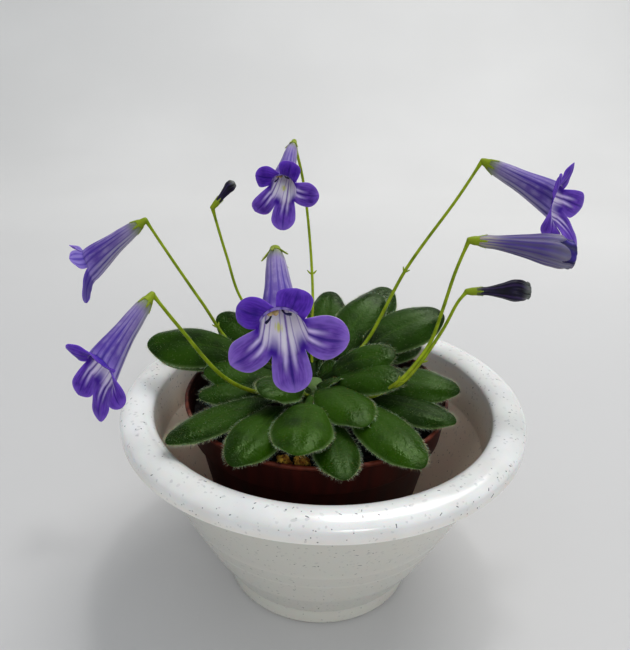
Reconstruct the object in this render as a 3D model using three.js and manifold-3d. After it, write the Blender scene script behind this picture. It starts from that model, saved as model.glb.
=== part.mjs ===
// A potted primulina: a white planter, a terracotta nursery pot of soil, a rosette of thick hairy
// leaves and seven stems that carry six nodding violet flowers and two buds.
// Millimetres, +Z up. The origin is the middle of the planter's flat underside. The front is -Y.

import * as THREE from 'three';
import { mergeVertices } from 'three/addons/utils/BufferGeometryUtils.js';
import Module from 'manifold-3d';

const wasm = await Module();
wasm.setup();

// Driving dimensions
const GAP = 0.3;

const PLANTER = {
  rimRadius: 70, mouthRadius: 58.7, rimHeight: 74, rimMiddle: 70.8, lipHeight: 67.6,
  neckRadius: 64.5, neckHeight: 66, waistRadius: 52.6, waistHeight: 40,
  kinkRadius: 42.9, kinkHeight: 19.4, ankleRadius: 35.7, ankleHeight: 7.5, footRadius: 34.4,
  ledgeTop: [57, 56.5], ledgeFoot: [53, 47.3], innerKink: [40.2, 19.5], heel: [34, 6],
  floorRadius: 32.6, floor: 4,
  rimArcs: 6, sides: 44,
};

const POT = {
  middle: [-2.4, -2], rimRadius: 45.5, height: 76, wall: 1.2, collarHeight: 12, collarRadius: 43.6,
  shoulderRadius: 41.6, footRadius: 29, floor: 1.6, ease: 0.6, step: 1, sides: 32,
  holes: 5, holeRadius: 4, holeCircle: 18, holeSides: 8,
};

const SOIL = { top: 71, lump: 1.1, rings: [40, 33, 25, 17, 10], sides: 24, seed: 7 };

// Two pumice granules that lie on the soil: [x, y, radius].
const GRANULES = [[-11.4, -40.3, 1.9], [-6, -40.9, 2.1]];
const GRANULE_SHAPE = [1.1, 0.9, 0.8];

const CROWN = {
  middle: [-3, -4], foot: 62, footRadius: 3, toe: 3, radius: 5,
  neckHeight: 76, neckRadius: 5.6, shoulder: 80.5, shoulderRadius: 3.9, top: 82, sides: 10,
};

// The blade's rows lie at these shares of its length, and its columns at these shares of its half width.
const LEAF = {
  thickness: 1.1, petiole: 1.2, sunk: 2, fall: 0.24, groove: 0.08, longest: 0.95,
  rows: [0.13, 0.42, 0.72, 0.91], columns: [-1, -0.5, 0, 0.5, 1],
  widest: 1.1, heel: 0.55, end: 0.6,
};

// Each leaf: turn about the crown (degrees from +X), reach of its tip from the crown's axis, height of
// the tip, height of the root, crest over the chord, width, length of the blade, roll (degrees).
const LEAVES = [
  [-140, 57, 78, 75, 9, 13, 37, -8],
  [-116, 52, 78, 75, 11, 16, 31, -8],
  [-95, 47, 82.5, 77, 9.5, 19, 27, 0],
  [-64, 36, 83.5, 79, 8, 18, 31, 4],
  [-79, 51, 77, 75, 7, 14, 27, 0],
  [-55, 56, 79, 76, 11, 17, 35, 8],
  [-25, 50, 79, 75, 7, 14, 31, 8],
  [-7, 49, 82, 77, 9, 15, 32, 20],
  [-22, 32, 88, 79, 8, 15, 27, 18],
  [0, 27, 92, 80, 7, 15, 24, 20],
  [-45, 10.5, 85, 80, 1.5, 9, 11, 4],
  [45, 8.5, 86, 80, 1.5, 6.5, 9, 0],
  [-165, 9, 84, 79.5, 1.5, 7, 9, -10],
  [32, 55, 95, 77, 11, 18, 38, 25],
  [57, 43, 99, 79, 7, 17, 36, 15],
  [61, 57, 96.5, 77, 7, 17, 31, 10],
  [84, 43, 97, 78, 6, 15, 29, 0],
  [150, 42, 95, 77, 6, 16, 31, -25],
  [170, 61, 88, 77, 12, 18, 34, -27],
  [173, 57, 85.5, 75, 7, 10, 27, -18],
  [-176, 38, 84, 76, 7, 15, 29, -22],
  [-162, 40, 80, 75, 7, 13, 29, -15],
  [-122, 29.5, 88.5, 78, 8, 15, 22, -14],
  [38, 50, 82, 75, 6, 12, 25, 10],
  [140, 47, 84, 75, 6, 14, 29, 0],
  [100, 26, 90, 79, 6, 12, 20, 0],
  [110, 46, 91, 77, 7, 15, 31, 0],
  [125, 52, 88, 76, 8, 15, 34, 0],
  [122, 34, 95, 79, 6, 14, 25, 0],
  [74, 50, 83, 75, 6, 14, 29, 0],
  [97, 51, 81, 75, 7, 15, 30, 0],
  [112, 53, 79, 75, 7, 14, 30, 0],
  [157, 51, 80, 75, 7, 14, 30, 0],
  [16, 47, 77, 75, 6, 14, 29, 0],
  [50, 49, 80, 75, 6, 14, 29, 0],
];

const STEM = { radius: 0.65, sides: 6, steps: 10 };

// The tube is a row of oval rings: [share of its length, radius], times wide across and tall upwards.
const COROLLA = {
  wall: 0.7, belly: 1, lip: 4.5, lipFlare: 0.12, rimBlend: 6, heel: 0.3, firstTurn: 234,
  wide: 0.92, tall: 1.2, tube: [[0, 0.8], [0.06, 1.5], [0.25, 2.35], [0.5, 3], [0.75, 4.1], [1, 5.4]],
};
const LOBE = { rows: [0.35, 0.65, 0.88], widest: 0.6, curl: 22 };

// Each flower: the root of its tube, the middle of its mouth, its size, its roll (degrees), its stem's
// route from the crown up to the calyx, the share of that route where its bracts sit, and its five
// lobes, which start at the lowest and go round towards +X. Each lobe: its turn about the tube and its
// lean out from the tube's axis (degrees), its length, its width, and for some how far its tip twists
// about its own length (degrees).
const FLOWERS = [
  {
    name: 'top', root: [-13.9, 43.7, 152.4], mouth: [-16.4, 21.1, 142.1], size: 0.91, roll: 10,
    stem: [[-4, 1, 79], [-5, 9, 92], [-5, 21, 100.2], [-7, 37, 118.3], [-10.2, 43.5, 139.3]],
    bracts: 0.46,
    lobes: [
      [259, 24, 10.7, 9.2], [349, 81, 8.7, 10.1], [69, 82, 7.8, 8.2],
      [160, 87, 7.1, 9.6], [220, 80, 9.9, 8],
    ],
  },
  {
    name: 'left_upper', root: [-65.8, 21.8, 127.6], mouth: [-85.5, 18.1, 113.4], size: 0.94, roll: -13,
    stem: [[-7, -1, 79], [-20, 3, 83], [-33.5, 8, 88.4], [-44.6, 15, 100.7], [-55.5, 20, 114.8]],
    bracts: 0.45,
    lobes: [
      [268, 30, 10.7, 9], [300, 41, 11, 8.5], [75, 46, 6, 8.6],
      [130, 55, 6.4, 9], [200, 60, 9, 9],
    ],
  },
  {
    name: 'left_lower', root: [-51.7, -27.7, 119.5], mouth: [-62.6, -45.7, 105.6], size: 0.95, roll: 2,
    stem: [[-7.5, -6, 78], [-21.3, -12.5, 80.4], [-31.7, -19, 89.1], [-43.6, -26.5, 109.8]],
    bracts: 0.46,
    lobes: [
      [288, 28, 10.5, 8.3], [305, 50, 8.6, 7, -60], [44, 66, 5.8, 9],
      [157, 80, 7.7, 9], [240, 40, 9, 7.5],
    ],
  },
  {
    name: 'centre', root: [-14.1, -37.9, 138.8], mouth: [-10.7, -61.4, 126.7], size: 1.18, roll: 16,
    stem: [[-5, -8, 77], [-6.5, -12, 80], [-8.1, -15, 86], [-11, -25, 110], [-14, -36, 130]],
    bracts: 0.32,
    lobes: [
      [268, 26, 7.9, 8.4], [344, 76, 8.5, 12.5], [58, 107, 5.3, 7.8],
      [148, 102, 5.9, 8.4], [182, 61, 7.7, 9.8],
    ],
  },
  {
    name: 'right_upper', root: [53, 26.5, 150.9], mouth: [75.5, 14.5, 141.9], size: 1.05, roll: 20,
    stem: [[0, -2, 79], [7, 3, 84], [14.4, 8, 90.5], [28, 19, 114.8], [44, 24, 139]],
    bracts: 0.52,
    lobes: [
      [252, 32, 12.8, 8.8], [328, 52, 9.8, 9.2], [62, 88, 8, 9],
      [100, 95, 8, 6.5], [240, 65, 7.5, 8.5, 60],
    ],
  },
];

// Each bud: a closed corolla, as [fraction of its length, radius], whose belly hangs below its axis.
const OPENING_BUD = {
  name: 'right_middle', root: [45.3, -5, 133], mouth: [77.6, -5, 131.5], size: 1, roll: 0, belly: 2.2,
  profile: [[0, 0.8], [0.05, 1.6], [0.22, 2.2], [0.5, 3.6], [0.75, 5], [0.9, 4.8], [0.98, 3.2]],
  stem: [[1, -6, 77], [8, -11, 78.5], [16.8, -17, 83.4], [24.3, -17.2, 89.2], [30.6, -11.4, 94],
    [34.6, -8, 99.3], [37.3, -6.8, 109], [40.5, -5.6, 122.8]],
  bracts: 0.36,
};
const RIGHT_BUD = {
  name: 'right_lower', root: [46.5, -5, 116], mouth: [65.4, -4.3, 117], size: 0.9, roll: 0, belly: 0.3,
  profile: [[0, 0.8], [0.07, 1.4], [0.25, 1.5], [0.5, 2.6], [0.75, 3.9], [0.92, 3.1], [0.99, 1.6]],
  stem: [[16.8, -17, 83.4], [25, -17.3, 88.5], [31.4, -11.7, 93.3], [35.6, -8.2, 98.6],
    [38.6, -7.5, 104.4], [42.3, -6.2, 112.8]],
  bracts: 0.42,
};
const LEFT_BUD = {
  name: 'back_left', root: [-41.1, 30.5, 132.6], mouth: [-34.6, 34, 140.3], size: 0.8, roll: 0, belly: 0,
  profile: [[0, 0.8], [0.1, 1.3], [0.35, 1.4], [0.6, 1.9], [0.85, 2.3], [0.96, 1.5]],
  stem: [[-5, 0, 79], [-15, 9, 86], [-31.5, 22, 100], [-37.1, 28, 113.7], [-40.8, 30, 126]],
  bracts: 0.32,
};

const CALYX = {
  foot: -2.3, seat: -1.6, waist: -1, waistRadius: 1.6, rim: 1.4, ease: 0.25, wall: 0.6,
  sepals: 5, sepal: 2.2, spread: 0.1,
};
const BRACT = { reach: 2.3, radius: 0.55, sides: 4 };

// The style runs inside the tube's roof: [height as a share of the roof's, share of the length].
const PISTIL = {
  radius: 0.4, sides: 5, steps: 5, anther: [1.5, 1, 1],
  route: [[0, 0.04], [0.1, 0.35], [0.45, 0.65], [0.55, 0.86]],
};
const BUD_SIDES = 10;

const COLOURS = {
  planter: '#e9e7e2', pot: '#6a2417', soil: '#1c1511', granule: '#b98b3f', leaf: '#2f5a1e',
  stem: '#8fa12f', corolla: '#5b3fb0', openingBud: '#6f5fa5', bud: '#241f3d', pistil: '#cdb48a',
};

const degrees = THREE.MathUtils.degToRad;
const point = (values) => new THREE.Vector3(...values);

// Closed meshes and solids

function toSolid(geometry) {
  const bare = geometry.clone();
  bare.deleteAttribute('normal');
  bare.deleteAttribute('uv');
  const merged = mergeVertices(bare, 1e-4);
  const corners = merged.index.array;
  const faces = [];
  for (let i = 0; i < corners.length; i += 3) {
    const face = [corners[i], corners[i + 1], corners[i + 2]];
    if (new Set(face).size === 3) faces.push(...face);
  }
  return new wasm.Manifold(new wasm.Mesh({
    numProp: 3,
    vertProperties: new Float32Array(merged.attributes.position.array),
    triVerts: new Uint32Array(faces),
  }));
}

function toGeometry(solid) {
  const mesh = solid.getMesh();
  const geometry = new THREE.BufferGeometry();
  geometry.setAttribute('position', new THREE.BufferAttribute(new Float32Array(mesh.vertProperties), 3));
  geometry.setIndex(new THREE.BufferAttribute(new Uint32Array(mesh.triVerts), 1));
  geometry.computeVertexNormals();
  return geometry;
}

const fuse = (solids) => solids.reduce((whole, next) => whole.add(next));

function lathe(profile, sides) {
  const outline = profile.map(([radius, height]) => new THREE.Vector2(radius, height));
  const geometry = new THREE.LatheGeometry(outline, sides);
  geometry.rotateX(Math.PI / 2);
  return geometry;
}

function tube(route, radius, sides, steps) {
  const corners = [];
  for (let i = 0; i < sides; i += 1) {
    const angle = (2 * Math.PI * i) / sides;
    corners.push(new THREE.Vector2(radius * Math.cos(angle), radius * Math.sin(angle)));
  }
  const extrudePath = new THREE.CatmullRomCurve3(route.map(point));
  return new THREE.ExtrudeGeometry(new THREE.Shape(corners), { steps, extrudePath, bevelEnabled: false });
}

// A slim cone from its root to its tip.
function spine(root, tip, radius, sides) {
  const length = root.distanceTo(tip);
  const geometry = new THREE.ConeGeometry(radius, length, sides);
  geometry.translate(0, length / 2, 0);
  const turn = new THREE.Quaternion().setFromUnitVectors(
    new THREE.Vector3(0, 1, 0), tip.clone().sub(root).normalize());
  geometry.applyQuaternion(turn);
  geometry.translate(root.x, root.y, root.z);
  return geometry;
}

// A sheet of points and triangles, given its thickness half to each side.
function thicken(points, faces, thickness) {
  const normals = points.map(() => new THREE.Vector3());
  for (const [a, b, c] of faces) {
    const normal = points[b].clone().sub(points[a]).cross(points[c].clone().sub(points[a]));
    for (const corner of [a, b, c]) normals[corner].add(normal);
  }
  const count = points.length;
  const positions = [];
  for (const side of [0.5, -0.5]) {
    points.forEach((place, i) => {
      positions.push(...place.clone().addScaledVector(normals[i].normalize(), side * thickness).toArray());
    });
  }
  const edges = new Set();
  const triangles = [];
  for (const [a, b, c] of faces) {
    triangles.push(a, b, c, c + count, b + count, a + count);
    for (const [from, to] of [[a, b], [b, c], [c, a]]) edges.add(`${from} ${to}`);
  }
  for (const edge of edges) {
    const [from, to] = edge.split(' ').map(Number);
    if (!edges.has(`${to} ${from}`)) {
      triangles.push(to, from, from + count, to, from + count, to + count);
    }
  }
  const geometry = new THREE.BufferGeometry();
  geometry.setAttribute('position', new THREE.Float32BufferAttribute(positions, 3));
  geometry.setIndex(triangles);
  return geometry;
}

// Triangles between two rows of a sheet, which have the same number of points.
function stitch(lower, upper, faces) {
  for (let i = 0; i + 1 < lower.length; i += 1) {
    faces.push([lower[i], lower[i + 1], upper[i + 1]], [lower[i], upper[i + 1], upper[i]]);
  }
}

function fan(row, apex, faces) {
  for (let i = 0; i + 1 < row.length; i += 1) faces.push([row[i], row[i + 1], apex]);
}

// Planter

function planterGeometry() {
  const p = PLANTER;
  const rim = [];
  const rimWidth = (p.rimRadius - p.mouthRadius) / 2;
  const rimCentre = (p.rimRadius + p.mouthRadius) / 2;
  for (let i = 0; i <= p.rimArcs; i += 1) {
    const angle = (Math.PI * i) / p.rimArcs;
    rim.push([rimCentre + rimWidth * Math.cos(angle),
      p.rimMiddle + (p.rimHeight - p.rimMiddle) * Math.sin(angle)]);
  }
  return lathe([
    [0, 0], [p.footRadius, 0], [p.ankleRadius, p.ankleHeight], [p.kinkRadius, p.kinkHeight],
    [p.waistRadius, p.waistHeight], [p.neckRadius, p.neckHeight], [p.neckRadius, p.lipHeight + GAP],
    [p.rimRadius, p.lipHeight], ...rim, p.ledgeTop, p.ledgeFoot, p.innerKink, p.heel,
    [p.floorRadius, p.floor], [0, p.floor],
  ], p.sides);
}

// Nursery pot, with drainage holes in its floor

const potFoot = PLANTER.floor + GAP;

function potInnerRadius(height) {
  const slope = (POT.shoulderRadius - POT.footRadius) / (POT.height - POT.collarHeight - potFoot);
  return POT.footRadius + slope * (height - potFoot) - POT.wall;
}

function potGeometry() {
  const p = POT;
  const collar = p.height - p.collarHeight;
  let pot = toSolid(lathe([
    [0, potFoot], [p.footRadius, potFoot], [p.shoulderRadius, collar],
    [p.collarRadius, collar + p.step], [p.rimRadius, p.height - p.ease],
    [p.rimRadius - p.ease / 2, p.height], [p.rimRadius - p.wall, p.height],
    [p.collarRadius - p.wall, collar + 2 * p.step], [potInnerRadius(collar), collar],
    [potInnerRadius(potFoot + p.floor), potFoot + p.floor], [0, potFoot + p.floor],
  ], p.sides));
  for (let i = 0; i < p.holes; i += 1) {
    const angle = (2 * Math.PI * i) / p.holes;
    const hole = new THREE.CylinderGeometry(p.holeRadius, p.holeRadius, 4 * p.floor, p.holeSides);
    hole.rotateX(Math.PI / 2);
    hole.translate(p.holeCircle * Math.cos(angle), p.holeCircle * Math.sin(angle), potFoot);
    pot = pot.subtract(toSolid(hole));
  }
  return toGeometry(pot.translate([...p.middle, 0]));
}

// Crown and leaves

function crownSolid(growth) {
  const c = CROWN;
  const crown = lathe([
    [0, c.foot - growth], [c.footRadius + growth, c.foot - growth], [c.radius + growth, c.foot + c.toe],
    [c.neckRadius + growth, c.neckHeight], [c.shoulderRadius, c.shoulder], [0, c.top],
  ], c.sides);
  crown.translate(...c.middle, 0);
  return toSolid(crown);
}

function crownRadius(height) {
  const c = CROWN;
  const rise = Math.max(0, height - c.neckHeight) / (c.shoulder - c.neckHeight);
  return c.neckRadius + (c.shoulderRadius - c.neckRadius) * rise;
}

function leafSolid([turn, reach, tipHeight, rootHeight, crest, width, blade, roll]) {
  const outward = new THREE.Vector3(Math.cos(degrees(turn)), Math.sin(degrees(turn)), 0);
  const level = new THREE.Vector3(-outward.y, outward.x, 0);
  const axis = new THREE.Vector3(...CROWN.middle, 0);
  const sunk = crownRadius(rootHeight) - LEAF.sunk;
  const root = axis.clone().addScaledVector(outward, sunk).setZ(rootHeight);
  const tip = axis.clone().addScaledVector(outward, reach).setZ(tipHeight);
  const middle = root.clone().lerp(tip, 0.5);
  middle.z += crest;
  const rib = new THREE.QuadraticBezierCurve3(root, middle, tip);
  const start = 1 - Math.min(blade / rib.getLength(), LEAF.longest);
  const stations = [0, start, ...LEAF.rows.map((share) => start + (1 - start) * share)];
  const points = [];
  const rows = stations.map((s) => {
    const along = Math.max(0, (s - start) / (1 - start)) ** LEAF.widest;
    const swell = Math.sin(Math.PI * along) ** (along > 0.5 ? LEAF.end : LEAF.heel);
    const half = LEAF.petiole + (width / 2 - LEAF.petiole) * swell;
    const tangent = rib.getTangent(s);
    const side = level.clone().applyAxisAngle(tangent, degrees(roll));
    const up = tangent.clone().cross(side);
    return LEAF.columns.map((t) => {
      const drop = LEAF.fall * t * t * t * t + (t === 0 ? LEAF.groove : 0);
      points.push(rib.getPoint(s).addScaledVector(side, half * t).addScaledVector(up, -half * drop));
      return points.length - 1;
    });
  });
  points.push(rib.getPoint(1));
  const faces = [];
  for (let i = 0; i + 1 < rows.length; i += 1) stitch(rows[i + 1], rows[i], faces);
  fan([...rows[rows.length - 1]].reverse(), points.length - 1, faces);
  return toSolid(thicken(points, faces, LEAF.thickness));
}

// Flowers. Each has a frame at the root of its tube, with Z along the tube and Y towards its upper lip.

function flowerFrame(flower) {
  const root = point(flower.root);
  const forward = point(flower.mouth).sub(root).normalize();
  const right = new THREE.Vector3(0, 0, 1).cross(forward).normalize();
  const up = forward.clone().cross(right);
  for (const axis of [right, up]) axis.applyAxisAngle(forward, degrees(flower.roll));
  return new THREE.Matrix4().makeBasis(right, up, forward).setPosition(root);
}

const flowerLength = (flower) => point(flower.root).distanceTo(point(flower.mouth));

// A point of the mouth's rim, which reaches further forward and out below than above.
function mouthPoint(flower, angle) {
  const c = COROLLA;
  const below = -Math.sin(angle);
  const reach = c.tube[c.tube.length - 1][1] * flower.size * (1 + c.lipFlare * below);
  return new THREE.Vector3(reach * Math.cos(angle), reach * Math.sin(angle) - c.belly,
    flowerLength(flower) + 0.5 * c.lip * flower.size * below);
}

function corollaGeometry(flower) {
  const c = COROLLA;
  const points = [new THREE.Vector3(0, 0, 0)];
  const faces = [];
  const columns = 2 * flower.lobes.length;
  let below;
  for (const [fraction, radius] of c.tube) {
    const ring = [];
    for (let i = 0; i < columns; i += 1) {
      const angle = degrees(c.firstTurn + (360 / columns) * i);
      const straight = new THREE.Vector3(c.wide * Math.cos(angle), c.tall * Math.sin(angle), 0)
        .multiplyScalar(radius * flower.size);
      straight.y -= c.belly * fraction * fraction;
      straight.z = c.heel + (flowerLength(flower) - c.heel) * fraction;
      points.push(straight.lerp(mouthPoint(flower, angle), fraction ** c.rimBlend));
      ring.push(points.length - 1);
    }
    ring.push(ring[0]);
    if (below) stitch(below, ring, faces);
    else fan([...ring].reverse(), 0, faces);
    below = ring;
  }
  flower.lobes.forEach(([turn, lean, length, width, twist = 0], lobe) => {
    const base = below.slice(2 * lobe, 2 * lobe + 3);
    const outward = new THREE.Vector3(Math.cos(degrees(turn)), Math.sin(degrees(turn)), 0);
    const tipSide = new THREE.Vector3(-outward.y, outward.x, 0);
    const rootSide = points[base[2]].clone().sub(points[base[0]]);
    const rootHalf = rootSide.length() / 2;
    const bulge = points[base[1]].clone().sub(points[base[0]].clone().lerp(points[base[2]], 0.5));
    const [first, last] = [-LOBE.curl, LOBE.curl].map((curl) => degrees(lean + curl));
    const scale = (length * flower.size) / (last - first);
    const lobeAngle = (v) => first + (last - first) * v;
    const rib = (v) => points[base[1]].clone()
      .addScaledVector(outward, scale * (Math.cos(first) - Math.cos(lobeAngle(v))))
      .add(new THREE.Vector3(0, 0, scale * (Math.sin(lobeAngle(v)) - Math.sin(first))));
    const heading = (v) => outward.clone().multiplyScalar(Math.sin(lobeAngle(v)))
      .setZ(Math.cos(lobeAngle(v)));
    let row = base;
    for (const v of LOBE.rows) {
      const widest = (width / 2) * flower.size;
      const half = v < LOBE.widest
        ? rootHalf + (widest - rootHalf) * Math.sin((Math.PI / 2) * (v / LOBE.widest))
        : widest * Math.sqrt(1 - ((v - LOBE.widest) / (1 - LOBE.widest)) ** 2);
      const side = rootSide.clone().normalize().lerp(tipSide, v).normalize()
        .applyAxisAngle(heading(v), degrees(twist * v));
      const next = [-1, 0, 1].map((t) => {
        points.push(rib(v).addScaledVector(side, half * t).addScaledVector(bulge, -Math.abs(t) * (1 - v)));
        return points.length - 1;
      });
      stitch(row, next, faces);
      row = next;
    }
    points.push(rib(1));
    fan(row, points.length - 1, faces);
  });
  return thicken(points, faces, c.wall).applyMatrix4(flowerFrame(flower));
}

function budGeometry(bud) {
  const length = flowerLength(bud);
  const profile = bud.profile.map(([fraction, radius]) => [radius * bud.size, fraction * length]);
  const geometry = lathe([[0, 0], ...profile, [0, length]], BUD_SIDES);
  const places = geometry.attributes.position;
  for (let i = 0; i < places.count; i += 1) {
    const fraction = places.getZ(i) / length;
    places.setY(i, places.getY(i) - bud.belly * fraction * fraction);
  }
  return toGeometry(toSolid(geometry.applyMatrix4(flowerFrame(bud))));
}

function pistilGeometry(flower) {
  const length = flowerLength(flower);
  const roof = COROLLA.tube[COROLLA.tube.length - 2][1] * flower.size;
  const route = PISTIL.route.map(([height, share]) => [0, height * roof, share * length]);
  const anther = new THREE.IcosahedronGeometry(1, 0);
  anther.scale(...PISTIL.anther);
  anther.translate(...route[route.length - 1]);
  const style = toSolid(tube(route, PISTIL.radius, PISTIL.sides, PISTIL.steps));
  return toGeometry(style.add(toSolid(anther))).applyMatrix4(flowerFrame(flower));
}

// Stems, each with its bracts and the calyx at its end

// A point beside the outer face of a corolla's tube, at a height, an angle and a distance from it.
function besideTube(flower, height, angle, distance) {
  const profile = flower.profile ?? COROLLA.tube;
  const [wide, tall, wall] = flower.profile ? [1, 1, 0] : [COROLLA.wide, COROLLA.tall, COROLLA.wall / 2];
  const fraction = height / flowerLength(flower);
  const next = profile.findIndex(([place]) => place > fraction);
  const [from, low] = profile[next - 1];
  const [to, high] = profile[next];
  const radius = flower.size * (low + ((high - low) * (fraction - from)) / (to - from));
  const out = wall + distance;
  return new THREE.Vector3(
    (wide * radius + out) * Math.cos(angle), (tall * radius + out) * Math.sin(angle), height);
}

// A cup round the root of the corolla, cut into five narrow sepals.
function calyxSolid(flower) {
  const c = CALYX;
  const clear = GAP + c.wall / 2;
  const points = [new THREE.Vector3(0, 0, c.foot)];
  const faces = [];
  const waist = c.waistRadius * flower.size;
  const rows = [
    (angle) => new THREE.Vector3(waist * Math.cos(angle), waist * Math.sin(angle), c.waist),
    (angle) => besideTube(flower, c.rim, angle, clear + c.ease),
  ].map((place) => {
    const ring = [];
    for (let i = 0; i < 2 * c.sepals; i += 1) {
      points.push(place(Math.PI / 2 + (Math.PI * (i - 1)) / c.sepals));
      ring.push(points.length - 1);
    }
    return [...ring, ring[0]];
  });
  fan([...rows[0]].reverse(), 0, faces);
  stitch(rows[0], rows[1], faces);
  const tipHeight = c.rim + c.sepal * flower.size;
  for (let i = 0; i < c.sepals; i += 1) {
    const angle = Math.PI / 2 + (2 * Math.PI * i) / c.sepals;
    points.push(besideTube(flower, tipHeight, angle, clear + c.spread));
    fan(rows[1].slice(2 * i, 2 * i + 3), points.length - 1, faces);
  }
  return toSolid(thicken(points, faces, c.wall).applyMatrix4(flowerFrame(flower)));
}

function stemRoute(flower) {
  const end = new THREE.Vector3(0, 0, CALYX.seat).applyMatrix4(flowerFrame(flower));
  return [...flower.stem, end.toArray()];
}

function bractSolids(flower, growth) {
  const curve = new THREE.CatmullRomCurve3(stemRoute(flower).map(point));
  const root = curve.getPointAt(flower.bracts);
  const along = curve.getTangentAt(flower.bracts);
  const side = new THREE.Vector3(0, 0, 1).cross(along).normalize();
  return [-1, 1].map((hand) => {
    const reach = BRACT.reach + 2 * growth;
    const tip = root.clone().addScaledVector(along, reach).addScaledVector(side, hand * reach);
    return toSolid(spine(root, tip, BRACT.radius + 1.5 * growth, BRACT.sides));
  });
}

function stemSolid(flowers, growth = 0) {
  const solids = [];
  for (const flower of flowers) {
    solids.push(toSolid(tube(stemRoute(flower), STEM.radius + growth, STEM.sides, STEM.steps)));
    solids.push(...bractSolids(flower, growth));
    if (!growth) solids.push(calyxSolid(flower));
  }
  return fuse(solids);
}

const BUNCHES = [
  ...FLOWERS.map((flower) => [flower]), [LEFT_BUD], [OPENING_BUD, RIGHT_BUD],
];

// The leaves and crown are one growth, with room round each stem that comes up through them.
function rosetteGeometry() {
  const growth = fuse([crownSolid(0), ...LEAVES.map(leafSolid)]);
  const room = fuse(BUNCHES.map((flowers) => stemSolid(flowers, GAP)));
  return toGeometry(growth.subtract(room));
}

// Soil, with a rough top and a hole for the crown

// A number from -1 to 1 that looks random but is the same each time for the same place.
function scatter(x, y, seed) {
  const wave = Math.sin(129.9 * x + 782.3 * y + seed) * 43758.5;
  return 2 * (wave - Math.floor(wave)) - 1;
}

function soilGeometry() {
  const s = SOIL;
  const bottom = potFoot + POT.floor + GAP;
  const collar = POT.height - POT.collarHeight;
  const soil = lathe([
    [0, bottom], [potInnerRadius(bottom) - GAP, bottom], [potInnerRadius(collar) - GAP, collar],
    [POT.collarRadius - POT.wall - GAP, collar + 2 * POT.step], [POT.collarRadius - POT.wall, s.top],
    ...s.rings.map((radius) => [radius, s.top]), [0, s.top],
  ], s.sides);
  const places = soil.attributes.position;
  for (let i = 0; i < places.count; i += 1) {
    const [x, y] = [places.getX(i).toFixed(1), places.getY(i).toFixed(1)].map(Number);
    if (places.getZ(i) > s.top - GAP && Math.hypot(x, y) < s.rings[0] + 1) {
      places.setZ(i, s.top + s.lump * scatter(x, y, s.seed));
    }
  }
  soil.translate(...POT.middle, 0);
  return toGeometry(toSolid(soil).subtract(crownSolid(GAP)));
}

function granuleGeometry([x, y, radius]) {
  const granule = new THREE.IcosahedronGeometry(radius, 0);
  granule.scale(...GRANULE_SHAPE);
  granule.translate(x, y, SOIL.top + SOIL.lump + radius * GRANULE_SHAPE[2]);
  return granule;
}

// Assembly

const plant = new THREE.Group();

function addPiece(name, geometry, colour, roughness) {
  const material = new THREE.MeshStandardMaterial({ color: colour, roughness, metalness: 0 });
  const mesh = new THREE.Mesh(geometry, material);
  mesh.name = name;
  plant.add(mesh);
}

addPiece('planter', planterGeometry(), COLOURS.planter, 0.3);
addPiece('nursery_pot', potGeometry(), COLOURS.pot, 0.5);
addPiece('potting_soil', soilGeometry(), COLOURS.soil, 0.95);
GRANULES.forEach((granule, i) => {
  addPiece(`pumice_granule_${i + 1}`, granuleGeometry(granule), COLOURS.granule, 0.9);
});
addPiece('leaf_rosette', rosetteGeometry(), COLOURS.leaf, 0.45);
for (const flowers of BUNCHES) {
  const name = flowers.map((flower) => flower.name).join('_and_');
  addPiece(`stem_${name}`, toGeometry(stemSolid(flowers)), COLOURS.stem, 0.5);
}
for (const flower of FLOWERS) {
  addPiece(`corolla_${flower.name}`, corollaGeometry(flower), COLOURS.corolla, 0.6);
  addPiece(`pistil_${flower.name}`, pistilGeometry(flower), COLOURS.pistil, 0.6);
}
addPiece(`corolla_${OPENING_BUD.name}`, budGeometry(OPENING_BUD), COLOURS.openingBud, 0.6);
for (const bud of [RIGHT_BUD, LEFT_BUD]) {
  addPiece(`bud_${bud.name}`, budGeometry(bud), COLOURS.bud, 0.6);
}

export default plant;
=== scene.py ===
import math
from types import SimpleNamespace as Sizes

import bpy
import numpy as np
from mathutils import Matrix, Vector, noise


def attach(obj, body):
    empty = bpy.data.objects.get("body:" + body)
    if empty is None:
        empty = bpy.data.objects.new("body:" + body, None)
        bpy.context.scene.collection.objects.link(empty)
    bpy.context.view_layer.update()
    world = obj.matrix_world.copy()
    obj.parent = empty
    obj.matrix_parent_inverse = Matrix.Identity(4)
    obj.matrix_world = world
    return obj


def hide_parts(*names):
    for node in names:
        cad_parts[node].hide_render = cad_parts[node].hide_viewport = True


# A potted primulina. Sizes and places are in millimetres, as on the solids, and become metres in new_mesh.
MM = 0.001
TAU = 2 * math.pi

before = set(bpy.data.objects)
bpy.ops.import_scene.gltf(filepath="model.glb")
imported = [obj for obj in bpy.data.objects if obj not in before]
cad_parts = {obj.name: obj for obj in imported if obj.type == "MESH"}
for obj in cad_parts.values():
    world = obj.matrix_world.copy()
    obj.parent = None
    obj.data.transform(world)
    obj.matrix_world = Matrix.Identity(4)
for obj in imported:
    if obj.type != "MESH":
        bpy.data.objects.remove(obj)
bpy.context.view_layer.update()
draw = np.random.default_rng(11)

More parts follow.
